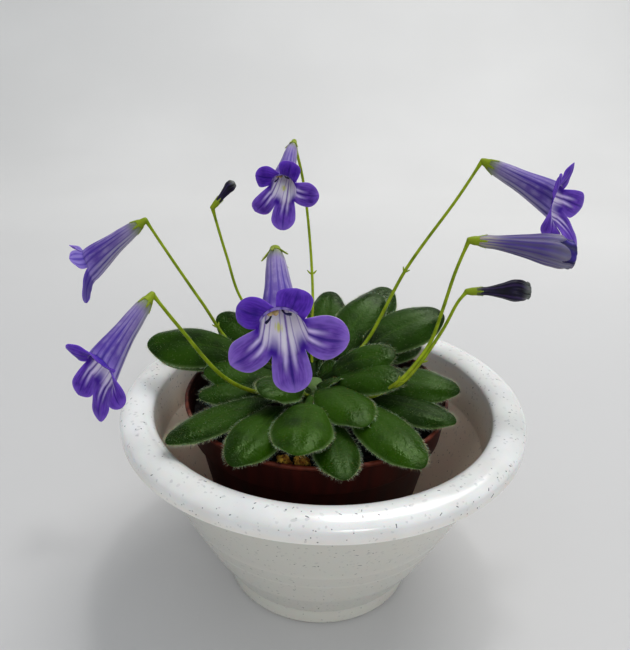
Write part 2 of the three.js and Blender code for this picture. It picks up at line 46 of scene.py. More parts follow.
# Driving dimensions, the same as the solids'
GAP = 0.3
PLANTER = Sizes(
    rim_radius=70, mouth_radius=58.7, rim_height=74, rim_middle=70.8, lip_height=67.6,
    neck=(64.5, 66), waist=(52.6, 40), kink=(42.9, 19.4), ankle=(35.7, 7.5), foot=34.4,
    ledge_top=(57, 56.5), ledge_foot=(53, 47.3), inner_kink=(40.2, 19.5), heel=(34, 6),
    floor_radius=32.6, floor=4, ribs=(38, 31),
)
POT = Sizes(
    middle=(-2.4, -2), rim_radius=45.5, height=76, wall=1.2, collar_height=12,
    collar_radius=43.6, shoulder_radius=41.6, foot_radius=29, floor=1.6,
    holes=5, hole_radius=4, hole_circle=18,
)
SOIL = Sizes(top=71, lump=1.1, radius=42.4)
GRANULES = ((-11.4, -40.3, 1.9), (-6, -40.9, 2.1))
CROWN = Sizes(
    middle=(-3, -4), foot=62, foot_radius=3, toe=3, radius=5, neck_height=76,
    neck_radius=5.6, shoulder=80.5, shoulder_radius=3.9, top=82,
)
LEAF = Sizes(petiole=1.2, sunk=2, longest=0.95, thickness=1.3, fall=0.3, groove=0.045,
             wave=0.045, quilt=0.004)

# Each leaf: turn about the crown (degrees), reach of the tip, height of the tip, height of the root,
# crest over the chord, width, length of the blade, roll (degrees), lightness and hairiness (0 to 1).
LEAVES = (
    (-140, 57, 78, 75, 9, 13, 37, -8, 0.42, 0.95),
    (-116, 52, 78, 75, 11, 16, 31, -8, 0.6, 0.3),
    (-95, 47, 82.5, 77, 9.5, 19, 27, 0, 0.8, 0.4),
    (-64, 36, 83.5, 79, 8, 18, 31, 4, 0.7, 0.35),
    (-79, 51, 77, 75, 7, 14, 27, 0, 0.25, 0.8),
    (-55, 56, 79, 76, 11, 17, 35, 8, 0.62, 0.35),
    (-25, 50, 79, 75, 7, 14, 31, 8, 0.12, 0.6),
    (-7, 49, 82, 77, 9, 15, 32, 20, 0.45, 0.45),
    (-22, 32, 88, 79, 8, 15, 27, 18, 0.5, 0.5),
    (0, 27, 92, 80, 7, 15, 24, 20, 0.5, 0.5),
    (-45, 10.5, 85, 80, 1.5, 9, 11, 4, 0.5, 0.7),
    (45, 8.5, 86, 80, 1.5, 6.5, 9, 0, 0.55, 0.6),
    (-165, 9, 84, 79.5, 1.5, 7, 9, -10, 0.5, 0.7),
    (32, 55, 95, 77, 11, 18, 38, 25, 0.3, 0.2),
    (57, 43, 99, 79, 7, 17, 36, 15, 0.35, 0.2),
    (61, 57, 96.5, 77, 7, 17, 31, 10, 0.2, 0.35),
    (84, 43, 97, 78, 6, 15, 29, 0, 0.4, 0.2),
    (150, 42, 95, 77, 6, 16, 31, -25, 0.4, 0.25),
    (170, 61, 88, 77, 12, 18, 34, -27, 0.55, 0.3),
    (173, 57, 85.5, 75, 7, 10, 27, -18, 0.2, 0.7),
    (-176, 38, 84, 76, 7, 15, 29, -22, 0.55, 0.45),
    (-162, 40, 80, 75, 7, 13, 29, -15, 0.4, 0.8),
    (-122, 29.5, 88.5, 78, 8, 15, 22, -14, 0.5, 0.25),
    (38, 50, 82, 75, 6, 12, 25, 10, 0.1, 0.6),
    (140, 47, 84, 75, 6, 14, 29, 0, 0.3, 0.4),
    (100, 26, 90, 79, 6, 12, 20, 0, 0.5, 0.4),
    (110, 46, 91, 77, 7, 15, 31, 0, 0.4, 0.3),
    (125, 52, 88, 76, 8, 15, 34, 0, 0.5, 0.4),
    (122, 34, 95, 79, 6, 14, 25, 0, 0.5, 0.4),
    (74, 50, 83, 75, 6, 14, 29, 0, 0.3, 0.5),
    (97, 51, 81, 75, 7, 15, 30, 0, 0.45, 0.5),
    (112, 53, 79, 75, 7, 14, 30, 0, 0.3, 0.6),
    (157, 51, 80, 75, 7, 14, 30, 0, 0.3, 0.6),
    (16, 47, 77, 75, 6, 14, 29, 0, 0.15, 0.6),
    (50, 49, 80, 75, 6, 14, 29, 0, 0.2, 0.6),
)

TUBE = Sizes(
    belly=1, lip=4.5, flare=0.12, blend=6, heel=0.3, first_turn=234, spot_turn=245, spot_place=0.74,
    wide=0.92, tall=1.2, profile=((0, 0.8), (0.06, 1.5), (0.25, 2.35), (0.5, 3), (0.75, 4.1), (1, 5.4)),
)
LOBE = Sizes(widest=0.6, curl=22)

# Each flower: the root of its tube, the middle of its mouth, size, roll (degrees), its stem's route up to
# the calyx, the place of the bracts along it, the stem's radius at its foot, how far the sepals' tips
# stand off the tube, how pale its lower and its upper lobes are, and five lobes, the lowest first and
# then round towards +X, each as turn, lean, length, width and, where it is twisted, degrees. cup
# shortens the calyx. A closed flower has a profile and a belly instead of lobes.
FLOWERS = (
    dict(
        name="top", root=(-13.9, 43.7, 152.4), mouth=(-16.4, 21.1, 142.1), size=0.91, roll=10,
        stem=((-4, 1, 79), (-5, 9, 92), (-5, 21, 100.2), (-7, 37, 118.3), (-10.2, 43.5, 139.3)),
        bracts=0.46, stem_radius=0.5, sepal_spread=0.35, pale=(0.6, 0),
        lobes=((259, 24, 10.7, 9.2), (349, 81, 8.7, 10.1), (69, 82, 7.8, 8.2), (160, 87, 7.1, 9.6),
               (220, 80, 9.9, 8)),
    ),
    dict(
        name="left_upper", root=(-65.8, 21.8, 127.6), mouth=(-85.5, 18.1, 113.4), size=0.94, roll=-13,
        stem=((-7, -1, 79), (-20, 3, 83), (-33.5, 8, 88.4), (-44.6, 15, 100.7), (-55.5, 20, 114.8)),
        bracts=0.45, stem_radius=0.65, pale=(0.35, 0.6),
        lobes=((268, 30, 10.7, 9), (300, 41, 11, 8.5), (75, 46, 6, 8.6), (130, 55, 6.4, 9),
               (200, 60, 9, 9)),
    ),
    dict(
        name="left_lower", root=(-51.7, -27.7, 119.5), mouth=(-62.6, -45.7, 105.6), size=0.95, roll=2,
        stem=((-7.5, -6, 78), (-21.3, -12.5, 80.4), (-31.7, -19, 89.1), (-43.6, -26.5, 109.8)),
        bracts=0.46, stem_radius=0.85, pale=(0.35, 0),
        lobes=((288, 28, 10.5, 8.3), (305, 50, 8.6, 7, -60), (44, 66, 5.8, 9), (157, 80, 7.7, 9),
               (240, 40, 9, 7.5)),
    ),
    dict(
        name="centre", root=(-14.1, -37.9, 138.8), mouth=(-10.7, -61.4, 126.7), size=1.18, roll=16,
        stem=((-5, -8, 77), (-6.5, -12, 80), (-8.1, -15, 86), (-11, -25, 110), (-14, -36, 130)),
        bracts=0.32, stem_radius=0.8, sepal_spread=1.2, pale=(1, 0), cup=0.6,
        lobes=((268, 26, 7.9, 8.4), (344, 76, 8.5, 12.5), (58, 107, 5.3, 7.8), (148, 102, 5.9, 8.4),
               (182, 61, 7.7, 9.8)),
    ),
    dict(
        name="right_upper", root=(53, 26.5, 150.9), mouth=(75.5, 14.5, 141.9), size=1.05, roll=20,
        stem=((0, -2, 79), (7, 3, 84), (14.4, 8, 90.5), (28, 19, 114.8), (44, 24, 139)),
        bracts=0.52, stem_radius=0.7, pale=(0.4, 0),
        lobes=((252, 32, 12.8, 8.8), (328, 52, 9.8, 9.2), (62, 88, 8, 9), (100, 95, 8, 6.5),
               (240, 65, 7.5, 8.5, 60)),
    ),
)
OPENING_BUD = dict(
    name="right_middle", root=(45.3, -5, 133), mouth=(77.6, -5, 131.5), size=1,
    profile=((0, 0.8), (0.05, 1.6), (0.22, 2.2), (0.5, 3.6), (0.75, 5), (0.9, 4.8), (0.98, 3.2)),
    belly=2.2,
    stem=((1, -6, 77), (8, -11, 78.5), (16.8, -17, 83.4), (24.3, -17.2, 89.2), (30.6, -11.4, 94),
          (34.6, -8, 99.3), (37.3, -6.8, 109), (40.5, -5.6, 122.8)),
    bracts=0.36, stem_radius=0.8,
)
RIGHT_BUD = dict(
    name="right_lower", root=(46.5, -5, 116), mouth=(65.4, -4.3, 117), size=0.9,
    profile=((0, 0.8), (0.07, 1.4), (0.25, 1.5), (0.5, 2.6), (0.75, 3.9), (0.92, 3.1), (0.99, 1.6)),
    belly=0.3,
    stem=((16.8, -17, 83.4), (25, -17.3, 88.5), (31.4, -11.7, 93.3), (35.6, -8.2, 98.6),
          (38.6, -7.5, 104.4), (42.3, -6.2, 112.8)),
    bracts=0.42, stem_radius=0.7,
)
LEFT_BUD = dict(
    name="back_left", root=(-41.1, 30.5, 132.6), mouth=(-34.6, 34, 140.3), size=0.8,
    profile=((0, 0.8), (0.1, 1.3), (0.35, 1.4), (0.6, 1.9), (0.85, 2.3), (0.96, 1.5)),
    stem=((-5, 0, 79), (-15, 9, 86), (-31.5, 22, 100), (-37.1, 28, 113.7), (-40.8, 30, 126)),
    bracts=0.32, stem_radius=0.5,
)
STEM_TOP_RADIUS = 0.5
CALYX = Sizes(foot=-2.3, seat=-1.6, waist=-1, rim=1.4, sepal=2.2)
BRACT = Sizes(length=2.1, width=0.6)

# Hairs: how many there are for each millimetre of leaf or stem or on each sepal, and their radii
HAIRS = Sizes(fringe=20, pile=9, stem=5, sepal=22)
HAIR_RADIUS = Sizes(fringe=0.018, pile=0.02, stem=0.024, sepal=0.022)

# Steps round and along the meshes
STEPS = Sizes(planter_round=256, pot_round=192, hole_round=24, soil_round=160, soil_rows=64, crown_round=40,
              leaf_round=36, petiole_rows=6, leaf_rows=44, stem_round=14, stem_rows=90, calyx_round=24,
              lobe_columns=16, lobe_rows=21, tube_rows=40, bud_rows=60)


# Vectors

def unit(v):
    v = np.asarray(v, float)
    return v / np.maximum(np.linalg.norm(v, axis=-1, keepdims=True), 1e-9)


def turned(v, axis, angle):
    """v turned about a unit axis by an angle in radians."""
    c, s = np.cos(angle), np.sin(angle)
    return v * c + np.cross(axis, v) * s + axis * np.sum(axis * v, -1, keepdims=True) * (1 - c)


def smooth(x, low, high):
    t = np.clip((np.asarray(x, float) - low) / (high - low), 0, 1)
    return t * t * (3 - 2 * t)


def bell(x, middle, width):
    return np.exp(-(((np.asarray(x, float) - middle) / width) ** 2))


def curve(knots, x):
    """A smooth curve through (place, value) knots, read at x."""
    places, values = np.array(knots, float).T
    slopes = np.gradient(values, places)
    i = np.clip(np.searchsorted(places, x, side="right") - 1, 0, len(places) - 2)
    step = places[i + 1] - places[i]
    t = np.clip((x - places[i]) / step, 0, 1)
    return ((2 * t**3 - 3 * t**2 + 1) * values[i] + (t**3 - 2 * t**2 + t) * step * slopes[i]
            + (3 * t**2 - 2 * t**3) * values[i + 1] + (t**3 - t**2) * step * slopes[i + 1])


def through(points, count):
    """A centripetal Catmull-Rom curve through the points, as count places at even distances."""
    p = np.array(points, float)
    p = np.vstack([2 * p[0] - p[1], p, 2 * p[-1] - p[-2]])
    fine = []
    for i in range(1, len(p) - 2):
        d0, d1, d2 = (np.sqrt(np.linalg.norm(p[i + k] - p[i + k - 1])) for k in (0, 1, 2))
        t1 = ((p[i] - p[i - 1]) / d0 - (p[i + 1] - p[i - 1]) / (d0 + d1) + (p[i + 1] - p[i]) / d1) * d1
        t2 = ((p[i + 1] - p[i]) / d1 - (p[i + 2] - p[i]) / (d1 + d2) + (p[i + 2] - p[i + 1]) / d2) * d1
        t = np.linspace(0, 1, 24, endpoint=False)[:, None]
        fine.append(p[i] + t1 * t + (-3 * p[i] + 3 * p[i + 1] - 2 * t1 - t2) * t**2
                    + (2 * p[i] - 2 * p[i + 1] + t1 + t2) * t**3)
    fine = np.vstack(fine + [p[-2:-1]])
    run = np.concatenate([[0], np.cumsum(np.linalg.norm(np.diff(fine, axis=0), axis=1))])
    even = np.linspace(0, run[-1], count)
    return np.stack([np.interp(even, run, fine[:, k]) for k in range(3)], 1)


def level(turn):
    """The level unit vectors outwards at a turn and at right angles to that, anticlockwise."""
    c, s = math.cos(turn), math.sin(turn)
    return np.array([c, s, 0]), np.array([-s, c, 0])


def polar(turn, reach, height, tall=None, drop=0):
    """Points round the Z axis; tall is the reach along Y where that isn't the same, drop lowers Y."""
    y = (reach if tall is None else tall) * np.sin(turn) - drop
    return np.stack(np.broadcast_arrays(reach * np.cos(turn), y, height), -1)


def run_length(path):
    return np.linalg.norm(np.diff(path, axis=0), axis=1).sum()


def rough(points, scale, seed):
    """Noise from about -1 to 1 at each point."""
    return np.array([noise.noise(Vector(p) * scale + Vector((seed, 0, 0))) for p in points]) * 1.8


# Meshes. Each point carries values for its material: how far along and across its own surface it lies,
# its side (1 outside, -1 inside or behind) and a tone. These are the values where none are given.

CHANNELS = {"along": 0, "across": 0, "side": 1, "tone": 0}


class Build:
    def __init__(self):
        self.points, self.faces, self.values, self.count = [], [], {}, 0

    def add(self, points, faces, **values):
        points = np.asarray(points, float).reshape(-1, 3)
        self.points.append(points)
        for name, value in {**CHANNELS, **values}.items():
            value = np.broadcast_to(np.asarray(value, float), (len(points),))
            self.values.setdefault(name, []).append(value)
        for block in faces:
            if len(block):
                self.faces += (np.asarray(block, int) + self.count).tolist()
        self.count += len(points)

    def mesh(self, name, flat=False):
        return new_mesh(name, np.concatenate(self.points), self.faces, flat)


def new_mesh(name, points, faces, flat=False):
    mesh = bpy.data.meshes.new(name)
    mesh.from_pydata((points * MM).tolist(), [], faces, shade_flat=flat)
    return mesh


def link(name, data):
    thing = bpy.data.objects.new(name, data)
    bpy.context.scene.collection.objects.link(thing)
    return thing


def make_piece(name, build, material, replaces=(), sharp=55):
    mesh = build.mesh(name)
    mesh.set_sharp_from_angle(angle=math.radians(sharp))
    for channel, values in build.values.items():
        mesh.attributes.new(channel, "FLOAT", "POINT").data.foreach_set("value", np.concatenate(values))
    mesh.materials.append(material)
    piece = link(name, mesh)
    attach(piece, "root")
    if replaces:
        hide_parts(*replaces)
    return piece


def quads(i):
    """The faces between the neighbouring rows and columns of point numbers."""
    return np.stack([i[:-1, :-1], i[:-1, 1:], i[1:, 1:], i[1:, :-1]], -1).reshape(-1, 4)


def grid(rows, columns, closed=False):
    i = np.arange(rows * columns).reshape(rows, columns)
    return quads(np.hstack([i, i[:, :1]]) if closed else i)


def circle(count):
    """Even turns round a circle, in radians."""
    return TAU * np.arange(count) / count


def circles(across, up, count):
    """Unit circles, one for each pair of crossways directions."""
    turn = circle(count)[:, None]
    return np.cos(turn) * across[:, None] + np.sin(turn) * up[:, None]


def loft(rings):
    """Rings (rows, columns, 3) closed into a skin, with a fan at each end; the columns run round
    anticlockwise as seen from the last ring."""
    rows, columns = rings.shape[:2]
    first, last = rows * columns, rows * columns + 1
    points = np.vstack([rings.reshape(-1, 3), rings[0].mean(0), rings[-1].mean(0)])
    i = np.arange(columns)
    j = (i + 1) % columns
    low = np.stack([j, i, np.full(columns, first)], 1)
    high = np.stack([i, j, np.full(columns, last)], 1) + [(rows - 1) * columns, (rows - 1) * columns, 0]
    return points, [grid(rows, columns, True), low, high]


def thicken(points, faces, thickness):
    """Two skins, half the thickness to each side of a sheet, joined round its edges. Returns the points,
    the faces and the side of each point, 1 where the sheet's faces look and -1 behind."""
    points = np.asarray(points, float)
    n = len(points)
    normals = np.zeros((n, 3))
    for block in faces:
        a, b, c = (points[block[:, k]] for k in range(3))
        normal = np.cross(b - a, c - a)
        for k in range(block.shape[1]):
            np.add.at(normals, block[:, k], normal)
    shift = unit(normals) * np.broadcast_to(np.asarray(thickness, float) / 2, (n,))[:, None]
    edges = {edge for block in faces for edge in zip(block.ravel().tolist(),
                                                     np.roll(block, -1, 1).ravel().tolist())}
    rim = [(b, a, a + n, b + n) for a, b in edges if (b, a) not in edges]
    skins = [*faces, *(block[:, ::-1] + n for block in faces), np.array(sorted(rim))]
    return np.vstack([points + shift, points - shift]), skins, np.repeat([1.0, -1.0], n)


def frames_along(path):
    """Unit tangents and two unit crossways directions along a path, turned as little as possible."""
    tangents = unit(np.gradient(path, axis=0))
    first = np.cross(tangents[0], (0, 0, 1) if abs(tangents[0][2]) < 0.9 else (1, 0, 0))
    sides = [unit(first)]
    for tangent in tangents[1:]:
        sides.append(unit(sides[-1] - tangent * np.dot(tangent, sides[-1])))
    sides = np.array(sides)
    return tangents, sides, np.cross(tangents, sides)


def sweep(path, radii, sides):
    """A round rod along a path. Returns points, faces and each point's share of the length."""
    _, across, up = frames_along(path)
    radii = np.broadcast_to(np.asarray(radii, float), (len(path),))[:, None, None]
    points, faces = loft(path[:, None] + radii * circles(across, up, sides))
    share = np.concatenate([np.repeat(np.linspace(0, 1, len(path)), sides), [0, 1]])
    return points, faces, share


def lathe(profile, sides, middle=(0, 0)):
    """A profile of (radius, height), which starts and ends on the axis, turned about the axis."""
    profile = np.array(profile, float)
    points, faces = loft(polar(circle(sides), profile[1:-1, :1], profile[1:-1, 1:]))
    points[-2:] = [(0, 0, profile[0][1]), (0, 0, profile[-1][1])]
    return points + (*middle, 0), faces


def rounded(profile, reach, steps=4):
    """A profile with each corner eased over the given reach."""
    p = np.array(profile, float)
    out = [p[0]]
    for before, corner, after in zip(p[:-2], p[1:-1], p[2:]):
        near = min(reach, 0.45 * np.linalg.norm(before - corner), 0.45 * np.linalg.norm(after - corner))
        a, b = corner + near * unit(before - corner), corner + near * unit(after - corner)
        for t in np.linspace(0, 1, steps):
            out.append((1 - t) ** 2 * a + 2 * t * (1 - t) * corner + t * t * b)
    return np.array(out + [p[-1]])


def spikes(build, roots, directions, lengths, radius, sag, tone):
    """Fine hairs: a bent three-sided spike at each root. sag is a vector that bends their tips."""
    n = len(roots)
    if not n:
        return
    directions = unit(directions)
    aside = unit(np.cross(directions, unit(draw.normal(size=(n, 3)))))
    other = np.cross(directions, aside)
    lengths = np.asarray(lengths, float)[:, None]
    middle = roots + directions * lengths * 0.55 + sag * lengths * 0.12
    tip = roots + directions * lengths + sag * lengths * 0.45
    ring = radius * circles(aside, other, 3)
    points = np.concatenate([roots[:, None] + ring, middle[:, None] + 0.6 * ring, tip[:, None]], 1)
    base = (7 * np.arange(n))[:, None]
    walls = [np.array([[k, (k + 1) % 3, 3 + (k + 1) % 3, 3 + k]]) + base for k in range(3)]
    tips = [np.array([[3 + k, 3 + (k + 1) % 3, 6]]) + base for k in range(3)]
    build.add(points, walls + tips, along=np.tile([0, 0, 0, 0.5, 0.5, 0.5, 1], n), tone=tone)


# Materials

def colour(text):
    """The linear colour of an sRGB hex code."""
    values = [int(text[i:i + 2], 16) / 255 for i in (1, 3, 5)]
    return (*[v / 12.92 if v <= 0.04045 else ((v + 0.055) / 1.055) ** 2.4 for v in values], 1)


def sum_of(operation, swapped=False):
    """A method that makes one math node of a term and another value."""
    def method(self, other=0.0):
        return self.look.math(operation, *((other, self) if swapped else (self, other)))

    return method


class Term:
    """A value or colour in a material, which takes part in sums, products and mixes."""

    __add__, __sub__, __mul__ = map(sum_of, ("ADD", "SUBTRACT", "MULTIPLY"))
    __rsub__, __abs__, larger = sum_of("SUBTRACT", True), sum_of("ABSOLUTE"), sum_of("MAXIMUM")

    def __init__(self, look, socket):
        self.look, self.socket = look, socket

    def beside(self, output):
        """Another output of the same node."""
        return Term(self.look, self.socket.node.outputs[output])

    def step(self, low, high):
        """0 below low and 1 above high, or the other way round where low is the larger."""
        return self.look.term("MapRange", {"Value": self, "From Min": low, "From Max": high},
                              interpolation_type="SMOOTHSTEP")

    def bell(self, middle, width):
        off = self.look.math("DIVIDE", self - middle, width)
        return self.look.math("DIVIDE", 1.0, self.look.math("POWER", math.e, off * off))

    def mix(self, a, b):
        """a where this is 0, b where it is 1."""
        return self.look.term("Mix", {0: self, 6: a, 7: b}, 2, data_type="RGBA")


class Look:
    """A Principled material. A colour is a term or a hex code; depth and height are Y and Z in metres."""

    def __init__(self, name, **settings):
        self.material = bpy.data.materials.new(name)
        self.material.use_nodes = True
        self.tree = self.material.node_tree
        self.shader = self.tree.nodes["Principled BSDF"]
        for key, value in settings.items():
            self.shader.inputs[key.replace("_", " ").title().replace("Ior", "IOR")].default_value = value
        self.along, self.across, self.side, self.tone = map(self.read, CHANNELS)
        self.object = self.term("TexCoord", output="Object")
        self.depth, self.height = (self.term("SeparateXYZ", {0: self.object}, k) for k in (1, 2))

    def put(self, socket, value):
        if isinstance(value, Term):
            self.tree.links.new(value.socket, socket)
        else:
            socket.default_value = colour(value) if isinstance(value, str) else value

    def term(self, kind, inputs=None, output=0, **settings):
        """One output of a new node."""
        node = self.tree.nodes.new("ShaderNode" + kind)
        for key, value in settings.items():
            setattr(node, key, value)
        for key, value in (inputs or {}).items():
            self.put(node.inputs[key], value)
        return Term(self, node.outputs[output])

    def read(self, channel):
        return self.term("Attribute", output="Fac", attribute_name=channel)

    def math(self, operation, a, b=0.0, clamp=False):
        return self.term("Math", {0: a, 1: b}, operation=operation, use_clamp=clamp)

    def vector(self, operation, a, b=(0, 0, 0), output=0):
        return self.term("VectorMath", {0: a, 1: b}, output, operation=operation)

    def noise(self, scale, detail=3.0, vector=None, seed=0.0):
        return self.term("TexNoise", {"Vector": vector or self.object, "W": seed, "Scale": scale,
                                      "Detail": detail}, "Fac", noise_dimensions="4D")

    def finish(self, base, roughness=None, height=None, distance=0.0001, strength=1.0):
        inputs = self.shader.inputs
        self.put(inputs["Base Color"], base)
        if roughness is not None:
            self.put(inputs["Roughness"], roughness)
        if height is not None:
            self.put(inputs["Normal"], self.term("Bump", {"Height": height, "Distance": distance,
                                                          "Strength": strength}))
        return self.material


# Each kind of fleck: size of its cell, half its length and half its width in metres, chance, seed,
# strength and colour.
FLECKS = (
    (0.0023, 0.00060, 0.00022, 0.5, 0.1, 0.9, "#4b4b52"),
    (0.0032, 0.00085, 0.00026, 0.42, 0.5, 0.95, "#2f3038"),
    (0.0019, 0.00055, 0.00040, 0.45, 0.9, 0.25, "#7b7c85"),
    (0.0035, 0.00105, 0.00060, 0.4, 1.7, 0.22, "#75767f"),
)


def flecks(look, cell, half_length, half_width, chance, seed):
    """Short straight flecks with random directions and shades, one at most in each cell."""
    moved = look.vector("ADD", look.object, (seed, seed, seed))
    lot = look.term("TexVoronoi", {"Vector": moved, "Scale": 1 / cell, "Randomness": 1.0}, "Color")
    off = look.vector("SUBTRACT", moved, lot.beside("Position"))
    aim = look.vector("NORMALIZE", look.vector("SUBTRACT", lot, (0.5, 0.5, 0.5)))
    run = look.vector("DOT_PRODUCT", off, aim, "Value")
    aside = look.vector("LENGTH", look.vector("CROSS_PRODUCT", off, aim), output="Value")
    kept = look.term("SeparateColor", {0: lot}, 2)
    mask = abs(run).step(half_length, 0.8 * half_length) * aside.step(half_width, 0.6 * half_width)
    mask = mask * kept.step(1 - chance, 1 - chance + 0.02)
    return mask * look.math("ADD", 0.5, kept.beside(1), True)


def planter_material():
    look = Look("speckled_white_plastic", roughness=0.22, ior=1.5, coat_weight=0.35, coat_roughness=0.08,
                subsurface_weight=0.15, subsurface_scale=0.004)
    height, side = look.height, look.side
    cloudy = look.noise(45, 4)
    base = cloudy.step(0.3, 0.75).mix("#dfdfdc", "#eff0f0")
    base = (height.bell(0.0683, 0.0012) * 0.2).mix(base, "#efdcc4")
    # Painted shade: the outside below the lip is greyer, as in the shade under the rim.
    base = (height.step(0.066, 0.06) * side.step(-0.5, 0.5)).mix(base, "#d5d3ca")
    # Painted shade: the inside walls turn beige, the more so the deeper they lie below the rim.
    base = side.step(0.9, -0.9).mix(base, "#e6dac8")
    density = height.step(0.062, 0.069) * 0.3 + 0.7
    for *sizes, strength, tint in FLECKS:
        base = (flecks(look, *sizes) * strength * density).mix(base, tint)
    return look.finish(base, cloudy * 0.14 + 0.16, look.noise(160, 2), 0.00008, 0.5)


def pot_material():
    look = Look("dark_terracotta_plastic", ior=1.45, specular_ior_level=0.35)
    streaks = look.noise(260, 4, look.vector("MULTIPLY", look.object, (1, 1, 0.12)))
    inside = look.side.step(0.5, -0.5)
    base = streaks.step(0.3, 0.75).mix("#2a0705", "#43110a")
    worn = look.height.step(0.074, 0.0762) * look.noise(300).step(0.35, 0.6)
    base = (worn * 0.5).mix(base, "#8a4630")
    grit = look.noise(900, seed=3.0).step(0.6, 0.68) * inside
    base = (grit * 0.85).mix(base, "#8a5a3c")
    smear = look.noise(140, 4, seed=5.0).step(0.5, 0.62) * inside
    base = (smear * 0.8).mix(base, "#170f0b")
    return look.finish(base, streaks * 0.2 + 0.42, streaks, 0.00006, 0.5)


def soil_material():
    look = Look("damp_peat", roughness=0.9)
    base = look.noise(1500, 5).step(0.35, 0.72).mix("#080504", "#1c130e")
    fibres = look.noise(700, 2, seed=2.0).step(0.62, 0.7)
    base = look.tone.mix((fibres * 0.7).mix(base, "#4a3424"), "#7a5b3c")
    return look.finish(base, None, look.noise(900, 5, seed=1.0), 0.0008)


def pumice_material():
    look = Look("tan_pumice", roughness=0.85)
    base = look.noise(420, 4).step(0.4, 0.62).mix("#8a5a1a", "#d9b04a")
    pits = look.term("TexVoronoi", {"Vector": look.object, "Scale": 1300.0}, "Distance")
    # Painted shade: dark in the deepest pits.
    pit_shade = pits.step(0.32, 0.12) * look.noise(500, 2, seed=4.0).step(0.4, 0.5)
    return look.finish(pit_shade.mix(base, "#241405"), None, pits, 0.0006)


def leaf_material():
    look = Look("thick_green_leaf", specular_ior_level=0.25, specular_tint=(0.7, 1, 0.5, 1),
                subsurface_weight=0.08, subsurface_scale=0.001)
    along, width, tone, hairy = look.along, abs(look.across), look.tone, look.read("hairy")
    fine = look.noise(1800, seed=2.0)
    # Lighter mottled patches, the leaves' own tone, lifted towards the middle of each blade as painted light,
    # so that each blade is darker towards its base and tip.
    light = (look.noise(90, 4) + along.bell(0.55, 0.4) * 0.2).step(0.42, 0.78)
    base = light.mix(tone.mix("#061400", "#102700"), tone.mix("#183300", "#355602"))
    rib = width.bell(0.0, 0.045) * along.step(0.95, 0.5)
    base = (rib * 0.3).mix(base, "#3c590f")
    base = (fine.step(0.5, 0.68) * hairy * 0.3).mix(base, "#566649")
    base = (width.step(0.9, 1.0) * 0.5).mix(base, "#7c9160")
    base = (look.side.step(0.0, -0.4) * 0.7).mix(base, "#6f8656")
    veins = look.math("PINGPONG", along * 8.0 - width * 2.2, 0.5).bell(0.0, 0.09)
    height = look.noise(800, 2, seed=6.0) + fine * 0.25 - veins * 0.1
    dull = 0.46 - along.bell(0.8, 0.17) * 0.34
    return look.finish(base, dull + fine * 0.12 + hairy * 0.1, height, 0.00022)


def hair_material():
    look = Look("pale_plant_hair", roughness=0.5, subsurface_weight=0.3, subsurface_scale=0.0003)
    return look.finish(look.tone.mix(look.along.mix("#a3b383", "#dde3cb"), "#7e8f6a"))


def stem_material():
    look = Look("yellow_green_stem", roughness=0.45, subsurface_weight=0.1, subsurface_scale=0.0008,
                specular_ior_level=0.25, specular_tint=(0.8, 0.9, 0.4, 1))
    green = look.noise(240).step(0.3, 0.7).mix("#74881a", "#98aa2c")
    olive = look.noise(60, 2, seed=1.0).step(0.5, 0.7).mix(green, "#646014")
    base = look.tone.step(0.5, 1.0).mix(look.along.step(0.0, 0.75).mix(olive, green), "#87972c")
    return look.finish(base, None, look.noise(1500, seed=3.0), 0.00012)


